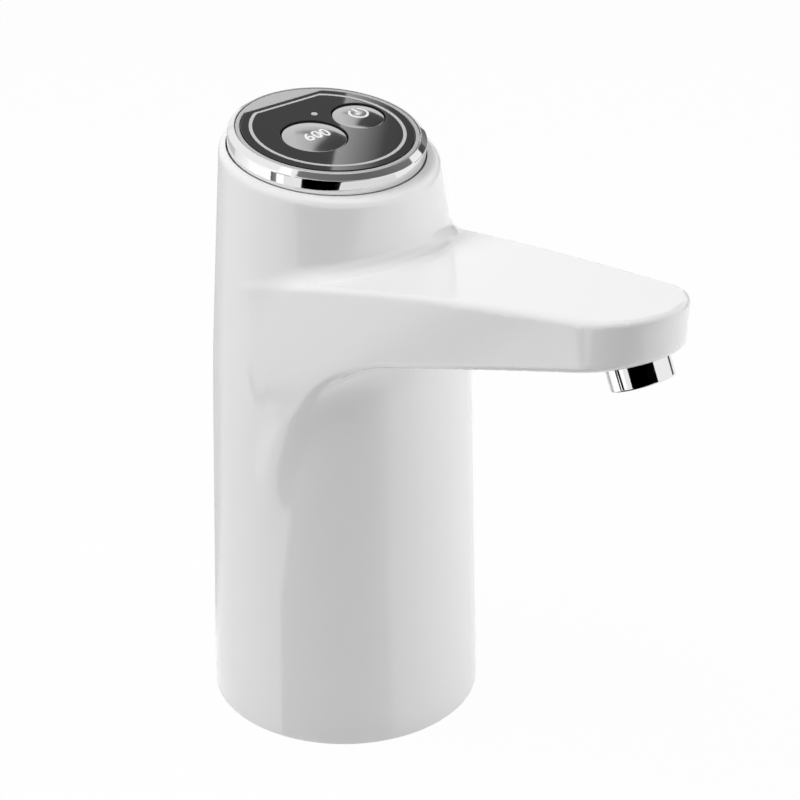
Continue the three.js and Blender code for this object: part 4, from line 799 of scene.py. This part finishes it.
def whitened(tree, shaded, whiteness):
    """White to the camera, to mirrors and through glass, and the plain shader to the rest."""
    path = node(tree, "ShaderNodeLightPath")
    seen = node(tree, "ShaderNodeMath", {
        0: path.outputs["Is Camera Ray"], 1: path.outputs["Is Glossy Ray"]}, operation="MAXIMUM")
    seen = node(tree, "ShaderNodeMath", {
        0: seen.outputs[0], 1: path.outputs["Is Transmission Ray"]}, operation="MAXIMUM")
    share = node(tree, "ShaderNodeMath", {0: seen.outputs[0], 1: whiteness}, operation="MULTIPLY")
    white = node(tree, "ShaderNodeEmission", {"Color": (1, 1, 1, 1), "Strength": 1.0})
    return node(tree, "ShaderNodeMixShader", {0: share.outputs[0], 1: shaded, 2: white.outputs[0]})


def card(name, strips):
    """A card beside the object that lights nothing and is seen only in gloss and chrome."""
    points = [corner for corners, _ in strips for corner in corners]
    faces = [tuple(range(4 * i, 4 * i + 4)) for i in range(len(strips))]
    mesh = new_mesh(name, points, faces)
    glows = mesh.attributes.new("glow", "FLOAT", "POINT")
    glows.data.foreach_set("value", [float(glow) for _, corner_glows in strips for glow in corner_glows])
    obj = added(name, mesh)
    obj.visible_camera = False
    obj.visible_diffuse = False
    obj.visible_shadow = False
    obj.visible_transmission = False
    mesh.materials.append(CARD)


def sky_card():
    def on_sky(across, up):
        return tuple(Vector(SKY_PLACE) + Vector(SKY_ACROSS) * across + Vector(SKY_UP) * up)

    strips = []
    for low, high, glows in SKY_BANDS:
        for a, glow_a, b, glow_b in glows:
            corners = [on_sky(a, low), on_sky(b, low), on_sky(b, high), on_sky(a, high)]
            strips.append((corners, (glow_a, glow_b, glow_b, glow_a)))
    card("sky_card", strips)


def card_material():
    made = bpy.data.materials.new("studio_card")
    tree = emptied(made)
    glow = node(tree, "ShaderNodeAttribute", attribute_name="glow")
    shine = node(tree, "ShaderNodeEmission", {"Strength": glow.outputs["Fac"]})
    out = node(tree, "ShaderNodeOutputMaterial")
    tree.links.new(shine.outputs[0], out.inputs["Surface"])
    return made


CARD = card_material()


def camera():
    obj = added("camera", bpy.data.cameras.new("camera"))
    obj.data.lens = CAMERA_LENS
    obj.data.clip_start = 0.01
    obj.data.clip_end = 20
    aimed(obj, CAMERA_PLACE, CAMERA_TARGET)
    bpy.context.scene.camera = obj


def pale_floor():
    half = FLOOR_SIZE / 2
    corners = [(-half, -half, 0), (half, -half, 0), (half, half, 0), (-half, half, 0)]
    floor = added("floor", new_mesh("floor", corners, [(0, 1, 2, 3)]))
    pale = bpy.data.materials.new("pale_floor")
    tree = emptied(pale)
    mottle = node(tree, "ShaderNodeTexNoise",
                  {"Vector": object_place(tree), "Scale": FLOOR_MOTTLE_SCALE})
    tint = node(tree, "ShaderNodeMix", {
        "Factor": mottle.outputs["Fac"],
        "A": (FLOOR_SHADE, FLOOR_SHADE, FLOOR_SHADE, 1),
        "B": (FLOOR_MOTTLE_SHADE, FLOOR_MOTTLE_SHADE, FLOOR_MOTTLE_SHADE, 1)}, data_type="RGBA")
    matt = node(tree, "ShaderNodeBsdfDiffuse", {"Color": tint.outputs["Result"]})
    out = node(tree, "ShaderNodeOutputMaterial")
    tree.links.new(whitened(tree, matt.outputs[0], FLOOR_WHITENESS).outputs[0], out.inputs["Surface"])
    floor.data.materials.append(pale)


def white_room():
    world = bpy.data.worlds.new("white_room")
    bpy.context.scene.world = world
    tree = emptied(world)
    soft = node(tree, "ShaderNodeBackground", {"Color": (1, 1, 1, 1), "Strength": AMBIENT})
    out = node(tree, "ShaderNodeOutputWorld")
    tree.links.new(whitened(tree, soft.outputs[0], 1.0).outputs[0], out.inputs["Surface"])


def studio():
    camera()
    pale_floor()
    white_room()
    for name, facts in LAMPS.items():
        lamp(name, **facts)
    for name, strips in CARDS.items():
        card(name, strips)
    sky_card()
    bpy.context.scene.view_settings.view_transform = "Standard"


# Pieces of the shell and the panel

def skin_normals(mesh, field):
    """Shades the shell by the field's own slope, and its cut faces flat."""
    count = len(mesh.vertices)
    places = np.zeros(count * 3)
    mesh.vertices.foreach_get("co", places)
    slopes = unit(slope_of(field, places.reshape(-1, 3) / MM, SHADE_REACH))
    corners = np.zeros(len(mesh.loops), dtype=int)
    mesh.loops.foreach_get("vertex_index", corners)
    sides = np.zeros(len(mesh.polygons), dtype=int)
    mesh.polygons.foreach_get("loop_total", sides)
    flat = np.zeros(len(mesh.polygons) * 3)
    mesh.polygons.foreach_get("normal", flat)
    flat = np.repeat(flat.reshape(-1, 3), sides, axis=0)
    curved = slopes[corners]
    alike = (curved * flat).sum(axis=1) > CREASE_COSINE
    mesh.normals_split_custom_set(np.where(alike[:, None], curved, flat).tolist())


def outer_shell():
    low = np.array([-BASE_RADIUS - NET_MARGIN, ARM_TIP_Y - NET_MARGIN, -NET_MARGIN * 2])
    high = np.array([BASE_RADIUS + NET_MARGIN, BASE_RADIUS + NET_MARGIN, PANEL_CENTRE[2] + NET_MARGIN])
    points, quads = net_of(shell_field, low, high, NET_STEP)
    obj = added("outer_shell_skin", new_mesh("outer_shell_skin", points, quads))
    seat, seat_foot = TRIM_RADIUS + GAP, -TRIM_DEPTH - GAP
    seat_cut = [(0, seat_foot), (seat, seat_foot), (seat, SEAT_CUT_TOP), (0, SEAT_CUT_TOP)]
    bore = NOZZLE_RADIUS + GAP
    bore_cut = [(0, NOZZLE_CUT_FOOT), (bore, NOZZLE_CUT_FOOT), (bore, NOZZLE_SEAT), (0, NOZZLE_SEAT)]
    side = CHARGE_HALF_WIDTH - CHARGE_ROUND
    slot = arc(side, 0, CHARGE_ROUND, -90, 90, 24) + arc(-side, 0, CHARGE_ROUND, 90, 270, 24)
    slot_place = Matrix.Translation(CHARGE_PLACE) @ Matrix.Rotation(math.pi / 2, 4, "X")
    cut(
        obj,
        block("below", *BELOW_BASE),
        turned("panel_seat", seat_cut, PANEL),
        turned("nozzle_bore", bore_cut, NOZZLE),
        plate("charge_slot", [slot], -CHARGE_CUT, CHARGE_CUT, slot_place),
    )
    mesh = obj.data
    bpy.data.objects.remove(obj)
    piece("shell_skin", mesh, "housing", FINISHES["shell"], ["outer_shell"], sharp=None)
    skin_normals(mesh, shell_field)


def trim_ring():
    skirt = TRIM_RADIUS - TRIM_SKIRT
    lip = TRIM_BORE - TRIM_LIP
    lip_top = -BEZEL_DROP - BEZEL_THICKNESS - GAP
    section = [
        (skirt, -TRIM_DEPTH),
        (TRIM_RADIUS, -TRIM_DEPTH),
        (TRIM_RADIUS, -TRIM_SHOULDER_DROP, TRIM_SHOULDER_ROUND),
        (TRIM_CREST_RADIUS, -TRIM_CREST_DROP, TRIM_CREST_ROUND),
        (TRIM_BORE, -TRIM_CREST_DROP, TRIM_BORE_ROUND),
        (TRIM_BORE, lip_top),
        (lip, lip_top),
        (lip, -TRIM_LIP_FOOT),
        (skirt, -TRIM_LIP_FOOT),
    ]
    mesh = turned("trim_ring_polished", section, PANEL, facets=240)
    piece("trim_ring_polished", mesh, "housing", FINISHES["chrome"], ["trim_ring"])


def lens_outline(inset, chord_inset):
    """The lens's outline, an arc and its chord, each set in by its own measure."""
    radius = LENS_RADIUS - inset
    chord = LENS_CHORD - chord_inset
    start = math.degrees(math.asin(chord / radius))
    return arc(0, 0, radius, 180 - start, 360 + start, 240)


def panel_holes(gap, light_gap):
    holes = [(*DOSE, gap), (*POWER, gap), (*LIGHT, light_gap)]
    return [arc(x, y, radius + margin, facets=120)[::-1] for x, y, radius, margin in holes]


def panel_faces():
    disc = arc(0, 0, BEZEL_RADIUS, facets=240)
    foot = -BEZEL_DROP - BEZEL_THICKNESS
    recess = -LENS_THICKNESS - LENS_BED
    low = plate("bezel_low", [disc, *panel_holes(GAP, GAP)], foot, recess, PANEL)
    rim = plate("bezel_rim", [disc, lens_outline(-GAP, -GAP)], recess, -BEZEL_DROP, PANEL, BEZEL_BEVEL)
    both = bmesh.new()
    both.from_mesh(low)
    both.from_mesh(rim)
    both.to_mesh(low)
    both.free()
    piece("bezel_brushed", low, "housing", FINISHES["silver"], ["panel_bezel"])
    outlines = [lens_outline(0, 0), *panel_holes(GAP, LIGHT_GAP)]
    lens = plate("lens_glossy", outlines, -LENS_THICKNESS, 0, PANEL, LENS_BEVEL)
    piece("lens_glossy", lens, "housing", FINISHES["lens"], ["panel_lens"])
    outlines = [
        lens_outline(LINE_INSET, LINE_CHORD_INSET),
        lens_outline(LINE_INSET + LINE_WIDTH, LINE_CHORD_INSET + LINE_CHORD_WIDTH),
    ]
    line = plate("lens_line", outlines, PRINT_BASE, PRINT_RISE, PANEL)
    piece("lens_line", line, "housing", FINISHES["grey_print"])


def crown(radius, reach):
    """The height of a button's crown at a reach from its middle."""
    share = min(reach / radius, 1)
    return BUTTON_CROWN - (BUTTON_CROWN + BUTTON_EDGE_DROP) * share ** BUTTON_CROWN_POWER


def button_cap(name, place):
    x, y, radius = place
    reaches = [radius * i / BUTTON_CROWN_STEPS for i in range(BUTTON_CROWN_STEPS)]
    section = [(reach, crown(radius, reach)) for reach in reaches] + [
        (radius, -BUTTON_EDGE_DROP, BUTTON_EDGE_ROUND),
        (radius, -BUTTON_FLANGE_DROP),
        (radius + BUTTON_FLANGE, -BUTTON_FLANGE_DROP),
        (radius + BUTTON_FLANGE, -BUTTON_SKIRT),
        (BUTTON_POST_RADIUS, -BUTTON_SKIRT),
        (BUTTON_POST_RADIUS, -BUTTON_POST_FOOT),
        (0, -BUTTON_POST_FOOT),
    ]
    mesh = turned(f"{name}_cap", section, PANEL @ Matrix.Translation((x, y, 0)))
    piece(f"{name}_cap", mesh, f"{name}_button", FINISHES["button"], [f"{name}_button"],
          sharp=50)


def raised_print(name, mesh, place, body):
    """Lays a flat print on a button's crown."""
    x, y, radius = place
    for vertex in mesh.vertices:
        reach = math.hypot(vertex.co.x, vertex.co.y) / MM
        vertex.co.z += crown(radius, reach) * MM
    move = PANEL @ Matrix.Translation((x, y, 0))
    move.translation *= MM
    mesh.transform(move)
    piece(name, mesh, body, FINISHES["print"])


def dose_digits():
    text = bpy.data.curves.new("dose_digits", "FONT")
    text.body = DIGITS
    text.size = DIGIT_HEIGHT * MM
    text.align_x = "CENTER"
    text.align_y = "CENTER"
    text.offset = DIGIT_BOLDNESS * MM
    text.extrude = PRINT_RISE * MM
    obj = added("dose_digits_text", text)
    digits = evaluated(obj)
    bpy.data.objects.remove(obj)
    digits.transform(Matrix.Translation((0, -DIGIT_DROP * MM, 0)))
    raised_print("dose_digits", digits, DOSE, "dose_button")


def power_icon():
    half = ICON_STROKE / 2
    wide, slim = ICON_RADIUS + half, ICON_RADIUS - half
    start, end = 90 + ICON_GAP, 450 - ICON_GAP
    ring = arc(0, 0, wide, start, end, 60) + arc(0, 0, slim, end, start, 60)
    foot = ICON_RADIUS * ICON_STEM_START
    heights = [foot + (wide - foot) * i / ICON_STEM_STEPS for i in range(ICON_STEM_STEPS + 1)]
    stem = [(half, height) for height in heights] + [(-half, height) for height in reversed(heights)]
    icon = plate("power_icon", [ring, stem], -ICON_SINK, PRINT_RISE)
    raised_print("power_icon", icon, POWER, "power_button")


def light_pipe():
    x, y, radius = LIGHT
    section = [
        (0, -LIGHT_DROP),
        (radius, -LIGHT_DROP, LIGHT_ROUND),
        (radius, -LIGHT_COLLAR_TOP),
        (LIGHT_COLLAR_RADIUS, -LIGHT_COLLAR_TOP),
        (LIGHT_COLLAR_RADIUS, -LIGHT_COLLAR_FOOT),
        (radius, -LIGHT_COLLAR_FOOT),
        (radius, -LIGHT_FOOT),
        (0, -LIGHT_FOOT),
    ]
    mesh = turned("light_pipe_clear", section, PANEL @ Matrix.Translation((x, y, 0)), facets=48)
    piece("light_pipe_clear", mesh, "housing", FINISHES["clear"], ["led_light_pipe"])


def nozzle_sleeve():
    bore = NOZZLE_RADIUS - NOZZLE_WALL
    low, high = NOZZLE_SEAT + GAP, NOZZLE_SEAT + GAP + NOZZLE_FLANGE
    section = [
        (bore, 0, NOZZLE_BORE_ROUND),
        (NOZZLE_RADIUS, 0, NOZZLE_EDGE_ROUND),
        (NOZZLE_RADIUS, low),
        (NOZZLE_FLANGE_RADIUS, low),
        (NOZZLE_FLANGE_RADIUS, high),
        (bore, high),
    ]
    mesh = turned("nozzle_polished", section, NOZZLE, facets=128)
    piece("nozzle_polished", mesh, "housing", FINISHES["chrome"], ["nozzle"])


def paint_cad_nodes():
    """Gives each CAD node that still shows the material of its slot."""
    for part in frame["record"]["subparts"]:
        shown = frame["nodes"][part["node"]]
        if not shown.hide_render:
            shown.data.materials.clear()
            shown.data.materials.append(FINISHES[part["material_slot"]])


studio()
outer_shell()
trim_ring()
panel_faces()
button_cap("dose", DOSE)
button_cap("power", POWER)
dose_digits()
power_icon()
light_pipe()
nozzle_sleeve()
paint_cad_nodes()
